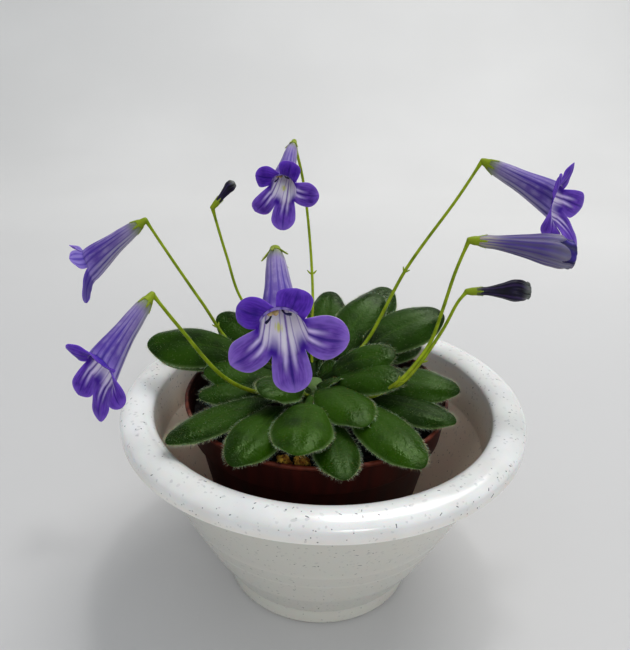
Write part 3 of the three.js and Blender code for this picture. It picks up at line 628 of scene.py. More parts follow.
def petal_material():
    """Violet lobes and a striped tube. along runs from 0 at the root over 1 at the mouth to 2 at the
    lobes' tips, across from 0 on a lobe's middle to 1 between lobes, and tone is 1 on the pale lobes."""
    look = Look("violet_petal", roughness=0.55, subsurface_weight=0.6, subsurface_scale=0.0012,
                subsurface_radius=(1, 0.85, 1), specular_ior_level=0.3, sheen_weight=0.06,
                sheen_roughness=0.4)
    along, pale = look.along, look.tone
    wobble = look.noise(170) - 0.5
    across = look.across + wobble * 0.22
    lobe = along + wobble * 0.12 - 1.0
    run = look.term("CombineXYZ", {0: look.across * 9.0, 1: along * 2.2})
    streaks = look.noise(1.0, 3, run, 5.0) * 0.5 + look.noise(330, 4, seed=2.0) * 0.5
    streaks = streaks.step(0.34, 0.66)

    # The side that faces forward: lobes and throat
    face = pale.mix(streaks.mix("#390f88", "#6634b6"), streaks.mix("#522c93", "#7f5ab8"))
    # Lighter towards the lobes' edges and tips: partly their own paler margins, partly a painted sheen.
    edge = look.across.step(0.45, 1.0).larger(lobe.step(0.6, 1.0))
    face = (edge * 0.4).mix(face, pale.mix("#7350c0", "#a28cd8"))
    vein = across.bell(0.0, 0.065) * lobe.step(0.98, 0.7)
    branch = (across - lobe * 0.25).bell(0.36, 0.05) * lobe.step(0.8, 0.35)
    face = (vein.larger(branch * 0.6) * 0.8).mix(face, "#320f86")
    band = across.bell(0.26, 0.15 - lobe * 0.14) * lobe.step(0.62, 0.0) * pale.step(0.0, 0.3)
    face = (band * 0.85).mix(face, "#ddd3ef")
    throat = (lobe + (1.0 - pale) * 0.14).step(0.04, -0.2)
    stripe = across.bell(0.02, 0.08).larger(across.bell(0.55, 0.055) * 0.7)
    face = throat.mix(face, (stripe * 0.8).mix("#f4f0fa", "#6a3fae"))
    # Painted shade: dark violet in the notches between the lobes.
    notch_shade = look.across.step(0.55, 0.85) * lobe.bell(-0.01, 0.13)
    face = (notch_shade * 0.95).mix(face, "#45109a")
    face = (look.read("spot").step(0.25, 0.75) * 0.95).mix(face, "#e2e58c")

    # The back: darker violet above, grey-lilac below, with soft stripes that grow towards the mouth
    lines = across.bell(0.0, 0.13).larger(across.bell(0.58, 0.1) * 0.8)
    above = along.step(0.1, 0.9).mix("#8a7cac", "#6248a2")
    below = along.step(0.3, 1.0).mix("#b3aec0", "#a79dc6")
    back = pale.step(0.15, 0.95).mix(above, below)
    back = (streaks.step(0.3, 1.0) * 0.3).mix(back, "#bdb6cd")
    back = (along.step(0.75, 0.95) * 0.55).mix(back, "#a796d6")
    strength = along.step(0.0, 0.5) * (streaks * 0.35 + 0.65)
    back = (lines * strength).mix(back, "#3a1c8e")
    back = (along.step(1.0, 1.12) * (1.0 - pale)).mix(back, "#43209e")
    back = (along.step(0.24, 0.03) * 0.9).mix(back, "#83905a")
    base = look.side.step(-0.2, 0.2).mix(face, back)
    return look.finish(base, None, streaks * 0.5 - lines * 0.6, 0.00016, 0.7)


def bud_material():
    look = Look("dark_violet_bud", roughness=0.42, subsurface_weight=0.1, subsurface_scale=0.0006,
                specular_ior_level=0.3, sheen_weight=0.05, sheen_roughness=0.4)
    along, across = look.along, look.across
    patch = look.noise(380, 4)
    base = patch.step(0.3, 0.7).mix("#090518", "#1c1138")
    # A painted highlight: lighter along the middle of each lobe.
    base = (across.bell(0.0, 0.2) * 0.5).mix(base, "#4d3a6c")
    base = (along.step(0.78, 0.97) * (patch * 0.6 + 0.35)).mix(base, "#868b82")
    # Painted shade: darker in the seams between the lobes towards the tip.
    base = (across.step(0.8, 1.0) * along.step(0.6, 0.85) * 0.8).mix(base, "#15101f")
    base = along.step(0.2, 0.05).mix(base, "#6a7440")
    return look.finish(base, None, patch, 0.0001, 0.6)


def opening_material():
    look = Look("striped_opening_bud", roughness=0.5, subsurface_weight=0.2, subsurface_scale=0.0006,
                sheen_weight=0.12, sheen_roughness=0.4)
    along, patch = look.along, look.noise(330, 4, seed=2.0)
    across = look.across + (look.noise(120) - 0.5) * 0.3
    base = along.step(0.35, 0.0).mix(look.tone.mix("#4c4074", "#787289"), "#a9a48f")
    lines = across.bell(0.0, 0.16).larger(across.bell(0.6, 0.12) * 0.8)
    base = (lines * (patch * 0.5 + 0.6)).mix(base, "#3c2085")
    base = (along.step(0.62, 0.88) * (patch * 0.5 + 0.3)).mix(base, "#84828d")
    # Painted shade: darker in the seams between the lobes.
    base = (across.step(0.85, 1.0) * along.step(0.5, 0.8) * 0.7).mix(base, "#37285e")
    inside = patch.step(0.3, 0.7).mix("#23106a", "#3c2192")
    # Painted shade: the inside darker towards the seams.
    inside = look.across.step(0.3, 1.0).mix(inside, "#160a4a")
    return look.finish(look.side.step(0.2, -0.2).mix(base, inside), None, patch, 0.00012, 0.6)


def plain_material(name, dark, light, roughness, tip=None):
    look = Look(name, roughness=roughness, subsurface_weight=0.1, subsurface_scale=0.0005)
    grain = look.noise(900)
    base = grain.step(0.3, 0.7).mix(dark, light)
    if tip:
        base = look.tone.step(0.5, 0.8).mix(base, tip)
    return look.finish(base, None, grain, 0.0001)


# Planter and pot

def planter_profile():
    p = PLANTER
    half = (p.rim_radius - p.mouth_radius) / 2
    centre = (p.rim_radius + p.mouth_radius) / 2
    crown = p.rim_height - p.rim_middle
    rim = [(centre + half * math.cos(a), p.rim_middle + crown * math.sin(a))
           for a in np.linspace(0, math.pi, 25)]
    slope = (p.waist[0] - p.kink[0]) / (p.waist[1] - p.kink[1])
    ribs = [(p.kink[0] + slope * (z - p.kink[1]) + step, z + rise)
            for z in p.ribs for step, rise in ((0.3, 0.5), (-0.1, -0.5))]
    outside = [
        (0, 0), (p.foot, 0), (p.ankle[0] - 0.2, p.ankle[1] - 1.2),
        (p.ankle[0] + 0.1, p.ankle[1]), p.kink, *ribs[::-1], p.waist, p.neck,
        (p.neck[0], p.lip_height + GAP), (p.rim_radius, p.lip_height),
    ]
    inside = [p.ledge_top, p.ledge_foot, p.inner_kink, p.heel,
              (p.floor_radius, p.floor), (0, p.floor)]
    return np.vstack([rounded(outside, 1.6, 8)[:-1], rounded([outside[-1], *rim, *inside], 0.6)])


def make_planter():
    profile, sides = planter_profile(), STEPS.planter_round
    inner = np.arange(len(profile)) > np.argmax(profile[:, 1])
    # Inside, side falls from 1 at the rim to -1 deep down, so that the material paints shade down the inside
    # walls.
    depth = smooth(PLANTER.rim_height - profile[:, 1], 1, 9)
    side = np.repeat(np.where(inner, 1 - 2 * depth, 1.0)[1:-1], sides)
    build = Build()
    build.add(*lathe(profile, sides), side=np.append(side, (1, -1)))
    make_piece("speckled_planter", build, planter_material(), ["planter"], 40)


POT_FOOT = PLANTER.floor + GAP


def pot_inner_radius(height):
    slope = (POT.shoulder_radius - POT.foot_radius) / (POT.height - POT.collar_height - POT_FOOT)
    return POT.foot_radius + slope * (height - POT_FOOT) - POT.wall


def make_pot():
    p, floor = POT, POT_FOOT + POT.floor
    collar = p.height - p.collar_height
    outside = [(0, POT_FOOT), (p.foot_radius, POT_FOOT), (p.shoulder_radius, collar),
               (p.collar_radius, collar + 1), (p.rim_radius - 0.5, p.height - 1.6),
               (p.rim_radius, p.height - 1.2), (p.rim_radius, p.height - 0.3),
               (p.rim_radius - 0.4, p.height)]
    inside = [(p.rim_radius - p.wall, p.height), (p.collar_radius - p.wall, collar + 2),
              (pot_inner_radius(collar), collar), (pot_inner_radius(floor), floor), (0, floor)]
    points, faces = lathe(rounded(outside + inside, 0.4), STEPS.pot_round, p.middle)
    radii = np.hypot(*(points[:, :2] - p.middle).T)
    wall = np.interp(points[:, 2], (POT_FOOT, collar, p.height),
                     (p.foot_radius - 0.5, p.shoulder_radius - 0.5, p.rim_radius - 0.7))
    build = Build()
    build.add(points, faces, side=np.where(radii < wall, -1, 1))
    pot = make_piece("terracotta_nursery_pot", build, pot_material(), ["nursery_pot"], 40)
    cut_drainage_holes(pot)


def cut_drainage_holes(pot):
    p, build = POT, Build()
    low, high = POT_FOOT - 2, POT_FOOT + 4
    for place in polar(circle(p.holes), p.hole_circle, 0):
        build.add(*lathe([(0, low), (p.hole_radius, low), (p.hole_radius, high), (0, high)],
                         STEPS.hole_round, p.middle + place[:2]))
    drill = link("drainage_drill", build.mesh("drainage_drill", True))
    cut = pot.modifiers.new("drainage", "BOOLEAN")
    cut.operation, cut.solver, cut.object = "DIFFERENCE", "EXACT", drill
    cut_mesh = bpy.data.meshes.new_from_object(pot.evaluated_get(bpy.context.evaluated_depsgraph_get()))
    pot.modifiers.clear()
    pot.data = cut_mesh
    bpy.data.objects.remove(drill)


# Soil, crumbs and pumice

def soil_height(x, y):
    points = np.stack([x.ravel(), y.ravel(), 0 * x.ravel()], 1)
    lumps = 0.6 * rough(points, 0.16, 1) + 0.35 * rough(points, 0.45, 2) + 0.2 * rough(points, 1.1, 3)
    return SOIL.top + SOIL.lump * lumps.reshape(x.shape)


def make_soil():
    turn = circle(STEPS.soil_round)
    radii = np.linspace(SOIL.radius, 0.3, STEPS.soil_rows)[:, None]
    x, y = radii * np.cos(turn), radii * np.sin(turn)
    top = np.stack([x, y, soil_height(x, y)], -1)
    bottom, collar = POT_FOOT + POT.floor + GAP, POT.height - POT.collar_height
    walls = [(pot_inner_radius(bottom) - GAP, bottom), (pot_inner_radius(collar) - GAP, collar),
             (POT.collar_radius - POT.wall - GAP, collar + 2)]
    sides = np.array([polar(turn, *place) for place in walls])
    points, faces = loft(np.concatenate([sides, top]))
    build = Build()
    build.add(points + (*POT.middle, 0), faces)
    make_piece("peat_soil", build, soil_material(), ["potting_soil"])


def ball(detail):
    """The points and triangles of a unit ball, from an icosahedron split detail times."""
    g = (1 + math.sqrt(5)) / 2
    points = [(-1, g, 0), (1, g, 0), (-1, -g, 0), (1, -g, 0), (0, -1, g), (0, 1, g), (0, -1, -g),
              (0, 1, -g), (g, 0, -1), (g, 0, 1), (-g, 0, -1), (-g, 0, 1)]
    faces = [(0, 11, 5), (0, 5, 1), (0, 1, 7), (0, 7, 10), (0, 10, 11), (1, 5, 9), (5, 11, 4),
          (11, 10, 2), (10, 7, 6), (7, 1, 8), (3, 9, 4), (3, 4, 2), (3, 2, 6), (3, 6, 8), (3, 8, 9),
          (4, 9, 5), (2, 4, 11), (6, 2, 10), (8, 6, 7), (9, 8, 1)]
    points = [unit(p) for p in points]
    for _ in range(detail):
        middles, finer = {}, []

        def middle(*edge):
            if frozenset(edge) not in middles:
                middles[frozenset(edge)] = len(points)
                points.append(unit(points[edge[0]] + points[edge[1]]))
            return middles[frozenset(edge)]

        for a, b, c in faces:
            d, e, f = middle(a, b), middle(b, c), middle(c, a)
            finer += [(a, d, f), (b, e, d), (c, f, e), (d, e, f)]
        faces = finer
    return np.array(points), np.array(faces)


def lump(build, shape, middle, radius, squash, tone, seed):
    points, faces = shape
    wild = 1 + 0.3 * rough(points, 1.3, seed) + 0.12 * rough(points, 3.5, seed + 9)
    spin = Matrix.Rotation(seed * 2.4, 3, Vector((math.sin(seed), math.cos(seed), 0.4)).normalized())
    points = points * wild[:, None] @ np.array(spin).T * radius * np.array([1, 1, squash])
    build.add(points + middle, [faces], tone=tone)


CRUMBS = Sizes(all=1500, large=260, margin=2.2)


def make_crumbs():
    build = Build()
    small, large = ball(0), ball(1)
    for i in range(CRUMBS.all):
        big = i < CRUMBS.large
        reach = (SOIL.radius - CRUMBS.margin) * math.sqrt(draw.uniform(0.03, 1))
        turn = draw.uniform(0, TAU)
        x, y = reach * math.cos(turn), reach * math.sin(turn)
        radius = draw.uniform(0.7, 1.5) if big else draw.uniform(0.25, 0.7)
        z = float(soil_height(np.array([x]), np.array([y]))[0]) + 0.25 * radius
        tone = draw.choice([0, 0.08, 0.2, 0.6], p=[0.6, 0.22, 0.13, 0.05])
        middle = np.array([x + POT.middle[0], y + POT.middle[1], z])
        lump(build, large if big else small, middle, radius, draw.uniform(0.55, 0.9), tone, float(i))
    make_piece("soil_crumbs", build, soil_material(), sharp=35)


def make_granules():
    material = pumice_material()
    for i, (x, y, radius) in enumerate(GRANULES, 1):
        points, faces = ball(4)
        wild = (1 + 0.2 * rough(points, 1.1, 3.0 * i) + 0.09 * rough(points, 3, 5.0 * i)
                - 0.12 * smooth(rough(points, 5.5, 7.0 * i), 0.1, 0.6))
        points = points * wild[:, None] * radius * np.array([1.08, 0.88, 0.8])
        build = Build()
        middle = np.array([x, y, SOIL.top + SOIL.lump + 0.75 * radius])
        build.add(points + middle, [faces])
        for k in range(3):
            aside = np.array([draw.uniform(1.6, 2.6) * (-1) ** k, draw.uniform(-0.6, 1.2), -0.75 * radius])
            lump(build, ball(2), middle + aside, draw.uniform(0.35, 0.6), 0.8, 0.0, 20.0 * i + k)
        make_piece(f"tan_pumice_{i}", build, material, [f"pumice_granule_{i}"])


# Leaves

def crown_radius(height):
    c = CROWN
    rise = max(0, height - c.neck_height) / (c.shoulder - c.neck_height)
    return c.neck_radius + (c.shoulder_radius - c.neck_radius) * rise


class Leaf:
    """One leaf's rib and blade, as functions of s along the rib and t across the blade, -1 to 1."""

    def __init__(self, row, seed):
        turn, reach, tip_height, root_height, crest, self.width, self.blade, roll, *looks = row
        self.tone, self.hairy = looks
        outward, self.level = level(math.radians(turn))
        axis = np.array([*CROWN.middle, 0.0])
        self.root = axis + outward * (crown_radius(root_height) - LEAF.sunk) + (0, 0, root_height)
        self.tip = axis + outward * reach + (0, 0, tip_height)
        self.middle = (self.root + self.tip) / 2 + (0, 0, crest)
        self.roll, self.seed = math.radians(roll), seed
        self.start = 1 - min(self.blade / run_length(self.rib(np.linspace(0, 1, 60))), LEAF.longest)

    def rib(self, s):
        s = np.asarray(s, float)[..., None]
        return (1 - s) ** 2 * self.root + 2 * s * (1 - s) * self.middle + s * s * self.tip

    def frame(self, s):
        s = np.asarray(s, float)[..., None]
        tangent = unit(2 * (1 - s) * (self.middle - self.root) + 2 * s * (self.tip - self.middle))
        side = turned(np.broadcast_to(self.level, tangent.shape), tangent, self.roll)
        return tangent, side, np.cross(tangent, side)

    def share(self, s):
        return np.clip((np.asarray(s, float) - self.start) / (1 - self.start), 0, 1)

    def half(self, s):
        u = self.share(s) ** 1.1
        least = np.where(u > 0.5, 0, LEAF.petiole)
        return least + (self.width / 2 - least) * np.sin(math.pi * u) ** 0.55

    def thickness(self, s):
        body = np.minimum(1, self.half(s) / (0.3 * self.width)) ** 0.7
        return np.where(self.share(s) > 0.5, LEAF.thickness * body, LEAF.thickness)

    def surface(self, s, t, side=0.0):
        """Points on the blade's upper face where side is 1, its margin's middle at 0, its back at -1."""
        s, t, side = np.broadcast_arrays(np.asarray(s, float), t, side)
        _, across, up = self.frame(s)
        half = self.half(s)
        blade = smooth(self.share(s), 0.02, 0.3) * smooth(self.share(s), 1.0, 0.8)
        wave = LEAF.wave * np.sin(9.5 * s + self.seed * 1.7 + 1.4 * np.sign(t)) - LEAF.fall
        quilt = LEAF.quilt * np.cos(TAU * (6.5 * self.share(s) - 1.5 * np.abs(t))) * (1 - t**4)
        groove = LEAF.groove * bell(t, 0, 0.15)
        rise = half * blade * (wave * np.abs(t) ** 3 + quilt - groove) + self.thickness(s) / 2 * side
        return self.rib(s) + across * (half * t)[..., None] + up * rise[..., None]


def add_leaf(build, leaf):
    rows, around = STEPS.leaf_rows, STEPS.leaf_round
    k = np.linspace(0, 1, rows - STEPS.petiole_rows)
    s = np.concatenate([np.linspace(0, leaf.start, STEPS.petiole_rows + 1)[:-1],
                        leaf.start + (1 - leaf.start) * np.sin(k * math.pi / 2) ** 1.15 * 0.9985])
    t, rise = np.cos(circle(around)), np.sin(circle(around))
    lens = np.sign(rise) * np.abs(rise) ** 0.75
    share = (s - leaf.start) / (1 - leaf.start)
    build.add(*loft(leaf.surface(s[:, None], t, lens)), along=[*np.repeat(share, around), share[0], 1],
              across=[*np.tile(t, rows), 0, 0], side=[*np.tile(lens, rows), 0, 0], tone=leaf.tone,
              hairy=leaf.hairy)


def add_leaf_hairs(fringes, piles, leaf):
    """A fringe round the margin and a pile on the upper face."""
    fringe = int(HAIRS.fringe * leaf.blade * (0.8 + 0.4 * leaf.hairy))
    s = leaf.start + (1 - leaf.start) * draw.uniform(0.03, 0.997, fringe) ** 0.8
    t = draw.choice([-1.0, 1.0], fringe)
    roots = leaf.surface(s, t * 0.985, draw.uniform(-0.3, 0.6, fringe))
    step = 0.004
    run = unit(leaf.surface(np.minimum(s + step, 0.999), t) - leaf.surface(s - step, t))
    tangent, _, up = leaf.frame(s)
    out = unit(np.cross(run, up) * t[:, None])
    out *= np.sign(np.sum(out * (roots - leaf.rib(s)), 1, keepdims=True))
    lean = draw.normal(0, 0.28, (fringe, 3))
    lengths = draw.uniform(0.45, 1.4, fringe) * (0.75 + 0.45 * leaf.hairy)
    spikes(fringes, roots, out + 0.25 * tangent + 0.15 * up + lean, lengths, HAIR_RADIUS.fringe,
           tangent * 0.6, 0)
    pile = int(HAIRS.pile * leaf.blade * (0.4 + 1.2 * leaf.hairy))
    s = leaf.start + (1 - leaf.start) * draw.uniform(0.04, 0.97, pile)
    t = draw.uniform(-0.96, 0.96, pile)
    roots = leaf.surface(s, t, 0.92 * (1 - t**2) ** 0.375)
    tangent, across, up = leaf.frame(s)
    lengths = draw.uniform(0.25, 0.65, pile)
    aim = up + 0.55 * tangent + draw.normal(0, 0.3, (pile, 3)) + across * (t * 0.4)[:, None]
    spikes(piles, roots, aim, lengths, HAIR_RADIUS.pile, tangent * 0.9, 0.35)


def make_leaves():
    build, fringes, piles = Build(), Build(), Build()
    c = CROWN
    points, faces = lathe(rounded([
        (0, c.foot), (c.foot_radius, c.foot), (c.radius, c.foot + c.toe),
        (c.neck_radius, c.neck_height), (c.shoulder_radius, c.shoulder), (0, c.top)], 2),
        STEPS.crown_round, c.middle)
    build.add(points, faces, along=-0.3, side=-0.5, tone=0.3, hairy=0.8)
    for number, row in enumerate(LEAVES):
        leaf = Leaf(row, float(number))
        add_leaf(build, leaf)
        add_leaf_hairs(fringes, piles, leaf)
    make_piece("leaf_blades", build, leaf_material(), ["leaf_rosette"])
    hair = hair_material()
    make_piece("leaf_margin_hairs", fringes, hair)
    make_piece("leaf_face_hairs", piles, hair)


# Stems

class Flower:
    """A flower's own frame: Z along its tube from the root, Y towards its upper lip."""

    def __init__(self, row):
        self.cup, self.roll, self.belly, self.sepal_spread = 1, 0, 0, 0.05
        self.__dict__.update(row)
        self.origin = np.array(self.root, float)
        forward = np.array(self.mouth, float) - self.origin
        self.length = np.linalg.norm(forward)
        forward = unit(forward)
        right = unit(np.cross((0, 0, 1), forward))
        up = np.cross(forward, right)
        roll = math.radians(self.roll)
        self.axes = np.array([turned(right, forward, roll), turned(up, forward, roll), forward])

    def world(self, local):
        return self.origin + np.asarray(local, float) @ self.axes

    def beside(self, height, turn, distance):
        """Points at a distance from the outer face of the tube, at a height and a turn about its axis."""
        closed = hasattr(self, "profile")
        profile = self.profile if closed else TUBE.profile
        wide, tall, wall = (1, 1, 0) if closed else (TUBE.wide, TUBE.tall, 0.3)
        radius = self.size * curve(profile, np.asarray(height, float) / self.length)
        out = wall + distance
        return polar(turn, wide * radius + out, height, tall * radius + out)

    def route(self):
        return [*self.stem, self.world((0, 0, CALYX.seat * self.cup))]


def blade(build, base, along, across, length, width, curl, rows):
    """A small pointed blade from its base, curled towards across x along."""
    up = np.cross(across, along)
    v = np.linspace(0, 1, rows)[:, None]
    spine = base + length * (along * v + up * curl * v**2)
    half = width / 2 * np.sin(math.pi * np.clip(v * 0.88 + 0.12, 0, 1)) ** 0.7 * (1 - 0.25 * v)
    t = np.linspace(-1, 1, 5)
    sheet = spine[:, None] + across * (half * t)[..., None] + up * (0.25 * half * t**2)[..., None]
    points, faces, side = thicken(sheet.reshape(-1, 3), [grid(rows, 5)], 0.3)
    build.add(points, faces, along=0.5, side=side, tone=0.9)


def add_calyx(build, hairs, flower):
    """A cup round the root of the tube, with five narrow hairy sepals that lie along it."""
    c = CALYX
    foot, waist = c.foot * flower.cup, c.waist * flower.cup
    turns = circle(STEPS.calyx_round)
    rings = [polar(turns, *place) for place in (
        (0.45, foot), (0.75, foot + 0.15), (0.95, foot + 0.6), (1.2 * flower.size, waist),
        (1.45 * flower.size, waist + 1.1))]
    rings += [flower.beside(c.rim - below, turns, off) for below, off in ((0.4, 0.16), (0.1, 0.1), (0, 0.04))]
    points, faces = loft(np.array(rings))
    build.add(flower.world(points), faces, along=1, tone=1)
    for i in range(5):
        turn = math.pi / 2 + TAU * i / 5
        outward, across = level(turn)
        length = c.sepal * flower.size * (1 + 0.12 * math.sin(7.0 * i + flower.length))
        base = flower.beside(c.rim - 0.9, turn, 0.1)
        run = flower.beside(c.rim + length, turn, 0.12 + flower.sepal_spread) - base
        reach = np.linalg.norm(run)
        blade(build, flower.world(base), run / reach @ flower.axes, -across @ flower.axes, reach,
              0.8 * flower.size, 0.03, 10)
        n = HAIRS.sepal
        spot = base + run * draw.uniform(0.1, 1, n)[:, None] + across * draw.uniform(-0.5, 0.5, (n, 1))
        aim = outward + 0.5 * run / reach + draw.normal(0, 0.4, (n, 3))
        spikes(hairs, flower.world(spot), aim @ flower.axes, draw.uniform(0.3, 0.7, n),
               HAIR_RADIUS.sepal, 0, 0.2)


def add_bracts(build, path, place):
    k = int(place * (len(path) - 1))
    along = frames_along(path)[0][k]
    side = unit(np.cross((0, 0, 1), along))
    for hand in (-1, 1):
        out = unit(along + hand * side * 0.9)
        across = unit(np.cross(out, np.cross(along, hand * side)))
        blade(build, path[k] + hand * side * 0.4, out, across, BRACT.length, BRACT.width, 0.1, 8)


def make_stems():
    material, hairs = stem_material(), Build()
    bunches = [[f] for f in FLOWERS] + [[LEFT_BUD], [OPENING_BUD, RIGHT_BUD]]
    for rows in bunches:
        build = Build()
        for flower in map(Flower, rows):
            path = through(flower.route(), STEPS.stem_rows)
            share = np.linspace(0, 1, len(path))
            radii = flower.stem_radius + (STEM_TOP_RADIUS - flower.stem_radius) * share ** 0.7
            radii = radii + 0.25 * bell(share, 1, 0.03)
            points, faces, along = sweep(path, radii, STEPS.stem_round)
            build.add(points, faces, along=along)
            add_calyx(build, hairs, flower)
            add_bracts(build, path, flower.bracts)
            n = int(HAIRS.stem * run_length(path))
            k = draw.integers(2, len(path) - 2, n)
            tangents, across, up = frames_along(path)
            turn = draw.uniform(0, TAU, (n, 1))
            out = np.cos(turn) * across[k] + np.sin(turn) * up[k]
            jitter = tangents[k] * draw.uniform(-0.7, 0.7, (n, 1))
            spikes(hairs, path[k] + jitter + out * radii[k][:, None] * 0.95,
                   out + draw.normal(0, 0.25, (n, 3)), draw.uniform(0.3, 0.75, n), HAIR_RADIUS.stem,
                   0, 0.15)
        node = "stem_" + "_and_".join(row["name"] for row in rows)
        make_piece(f"hairy_{node}", build, material, [node])
    make_piece("stem_hairs", hairs, hair_material())


# Flowers

def mouth_point(flower, angle):
    below = -np.sin(angle)
    reach = TUBE.profile[-1][1] * flower.size * (1 + TUBE.flare * below)
    return polar(angle, reach, flower.length + 0.5 * TUBE.lip * flower.size * below, drop=TUBE.belly)


def across_lobes(count):
    """0 on each lobe's middle and 1 between lobes, for columns round a flower."""
    return np.abs(2 * (np.arange(count) % STEPS.lobe_columns) / STEPS.lobe_columns - 1)


UPPER_LOBES = (2, 3)
PETAL = Sizes(wall=0.55, thinned=0.55, tip=0.22)


def make_corolla(row, material):
    flower = Flower(row)
    count = 5 * STEPS.lobe_columns
    turns = np.radians(TUBE.first_turn) + circle(count)
    rows = np.linspace(0, 1, STEPS.tube_rows)[:, None] ** 0.8
    fluting = 1 + 0.045 * np.cos(5 * (turns - np.radians(270))) * smooth(rows, 0.15, 0.9)
    around = flower.size * curve(TUBE.profile, rows) * fluting
    height = TUBE.heel + (flower.length - TUBE.heel) * rows
    tube = polar(turns, TUBE.wide * around, height, TUBE.tall * around, TUBE.belly * rows**2)
    blend = (rows ** TUBE.blend)[..., None]
    tube = tube * (1 - blend) + mouth_point(flower, turns)[None] * blend
    lower = smooth(-np.sin(turns), -0.5, 0.5)
    spot_turn = np.angle(np.exp(1j * (turns - np.radians(TUBE.spot_turn))))
    star = bell(spot_turn, 0, 0.1) + 0.6 * bell(np.abs(spot_turn), 0.2, 0.07)
    points, faces, values = [tube.reshape(-1, 3)], [grid(len(rows), count, True)], []

    def note(along, across, tone, spot, wall):
        values.append(np.stack(np.broadcast_arrays(along, across, tone, spot, wall)).reshape(5, -1))

    note(rows, across_lobes(count), lower, bell(rows, TUBE.spot_place, 0.05) * star, PETAL.wall)
    last = (len(rows) - 1) * count
    total = len(rows) * count
    for number, lobe in enumerate(flower.lobes):
        columns = (np.arange(STEPS.lobe_columns + 1) + number * STEPS.lobe_columns) % count
        sheet, t, v = lobe_sheet(flower, lobe, tube[-1][columns], number)
        n, m = sheet.shape[:2]
        index = np.vstack([last + columns, total + np.arange(n * m).reshape(n, m)])
        fan = np.stack([index[-1, :-1], index[-1, 1:], np.full(m - 1, total + n * m)], 1)
        points += [sheet.reshape(-1, 3), 1.5 * sheet[-1].mean(0) - 0.5 * sheet[-2].mean(0)]
        faces += [quads(index), fan]
        pale = flower.pale[number in UPPER_LOBES]
        v, t = v[:, None], np.abs(t)
        rim_share = np.exp(-v / 0.08)
        thin = 1 - PETAL.thinned * np.clip(t**3 + smooth(v, 0.6, 1), 0, 1)
        note(1 + v, t, pale * (1 - rim_share) + lower[columns] * rim_share, 0, PETAL.wall * thin)
        note(2, 0, pale, 0, PETAL.tip)
        total += n * m + 1
    values = np.hstack(values)
    skin, faces, side = thicken(np.vstack(points), faces, values[-1])
    along, across, tone, spot, _ = np.tile(values, 2)
    build = Build()
    build.add(flower.world(skin), faces, along=along, across=across, side=side, tone=tone, spot=spot)
    node = f"corolla_{flower.name}"
    make_piece(f"violet_{node}", build, material, [node])


def lobe_sheet(flower, lobe, base, number):
    """The points of a lobe, row by row from base, its part of the mouth's rim, with t across and v along
    it. Its rib bends from lean minus curl to lean plus curl, in degrees off the tube's axis."""
    turn, lean, length, width, twist = (*lobe, 0)[:5]
    outward, tip_side = level(math.radians(turn))
    m = len(base) - 1
    centre = base[m // 2]
    root_side = base[-1] - base[0]
    root_half = np.linalg.norm(root_side) / 2
    bulge = centre - (base[0] + base[-1]) / 2
    first, last = (math.radians(lean + sign * LOBE.curl) for sign in (-1, 1))
    scale = length * flower.size / (last - first)
    v = np.append(1 - (1 - np.linspace(0, 1, STEPS.lobe_rows + 1)[1:-1]) ** 1.5, 0.997)
    angle = first + (last - first) * v
    rib = (centre + np.outer(scale * (np.cos(first) - np.cos(angle)), outward)
           + np.outer(scale * (np.sin(angle) - np.sin(first)), (0, 0, 1)))
    widest = width / 2 * flower.size
    w = LOBE.widest
    growing = root_half + (widest - root_half) * np.sin(math.pi / 2 * np.minimum(v / w, 1))
    closing = widest * np.sqrt(np.clip(1 - ((v - w) / (1 - w)) ** 2, 0, 1))
    half = np.where(v < w, growing, closing)
    side = unit(unit(root_side) * (1 - v)[:, None] + tip_side * v[:, None])
    run = np.outer(np.sin(angle), outward) + np.outer(np.cos(angle), (0, 0, 1))
    side = turned(side, run, np.radians(twist * v)[:, None])
    t = np.linspace(-1, 1, m + 1)
    back = unit(np.cross(side, run))
    sheet = rib[:, None] + side[:, None] * (half[:, None] * t)[..., None]
    sheet -= bulge * ((t**2) * (1 - v[:, None]))[..., None]
    straight = centre + np.outer(root_half * t, unit(root_side)) - np.outer(t**2, bulge)
    sheet += (base - straight)[None] * ((1 - v) ** 3)[:, None, None]
    bow = (0.2 if number in UPPER_LOBES else 0.11) * half * smooth(v, 0.05, 0.6)
    phase = 2.1 * np.sign(t) + number * 1.9 + flower.length
    ruffle = 0.2 * np.sin(9 * v[:, None] + phase) * np.abs(t) ** 3
    crease = 0.22 * bell(t, 0, 0.09) * (smooth(v, 0.02, 0.3) * smooth(v, 1.0, 0.7))[:, None]
    lift = bow[:, None] * t**2 + ruffle * smooth(v, 0.2, 0.7)[:, None] + crease
    sheet += back[:, None] * lift[..., None]
    return sheet, t, v


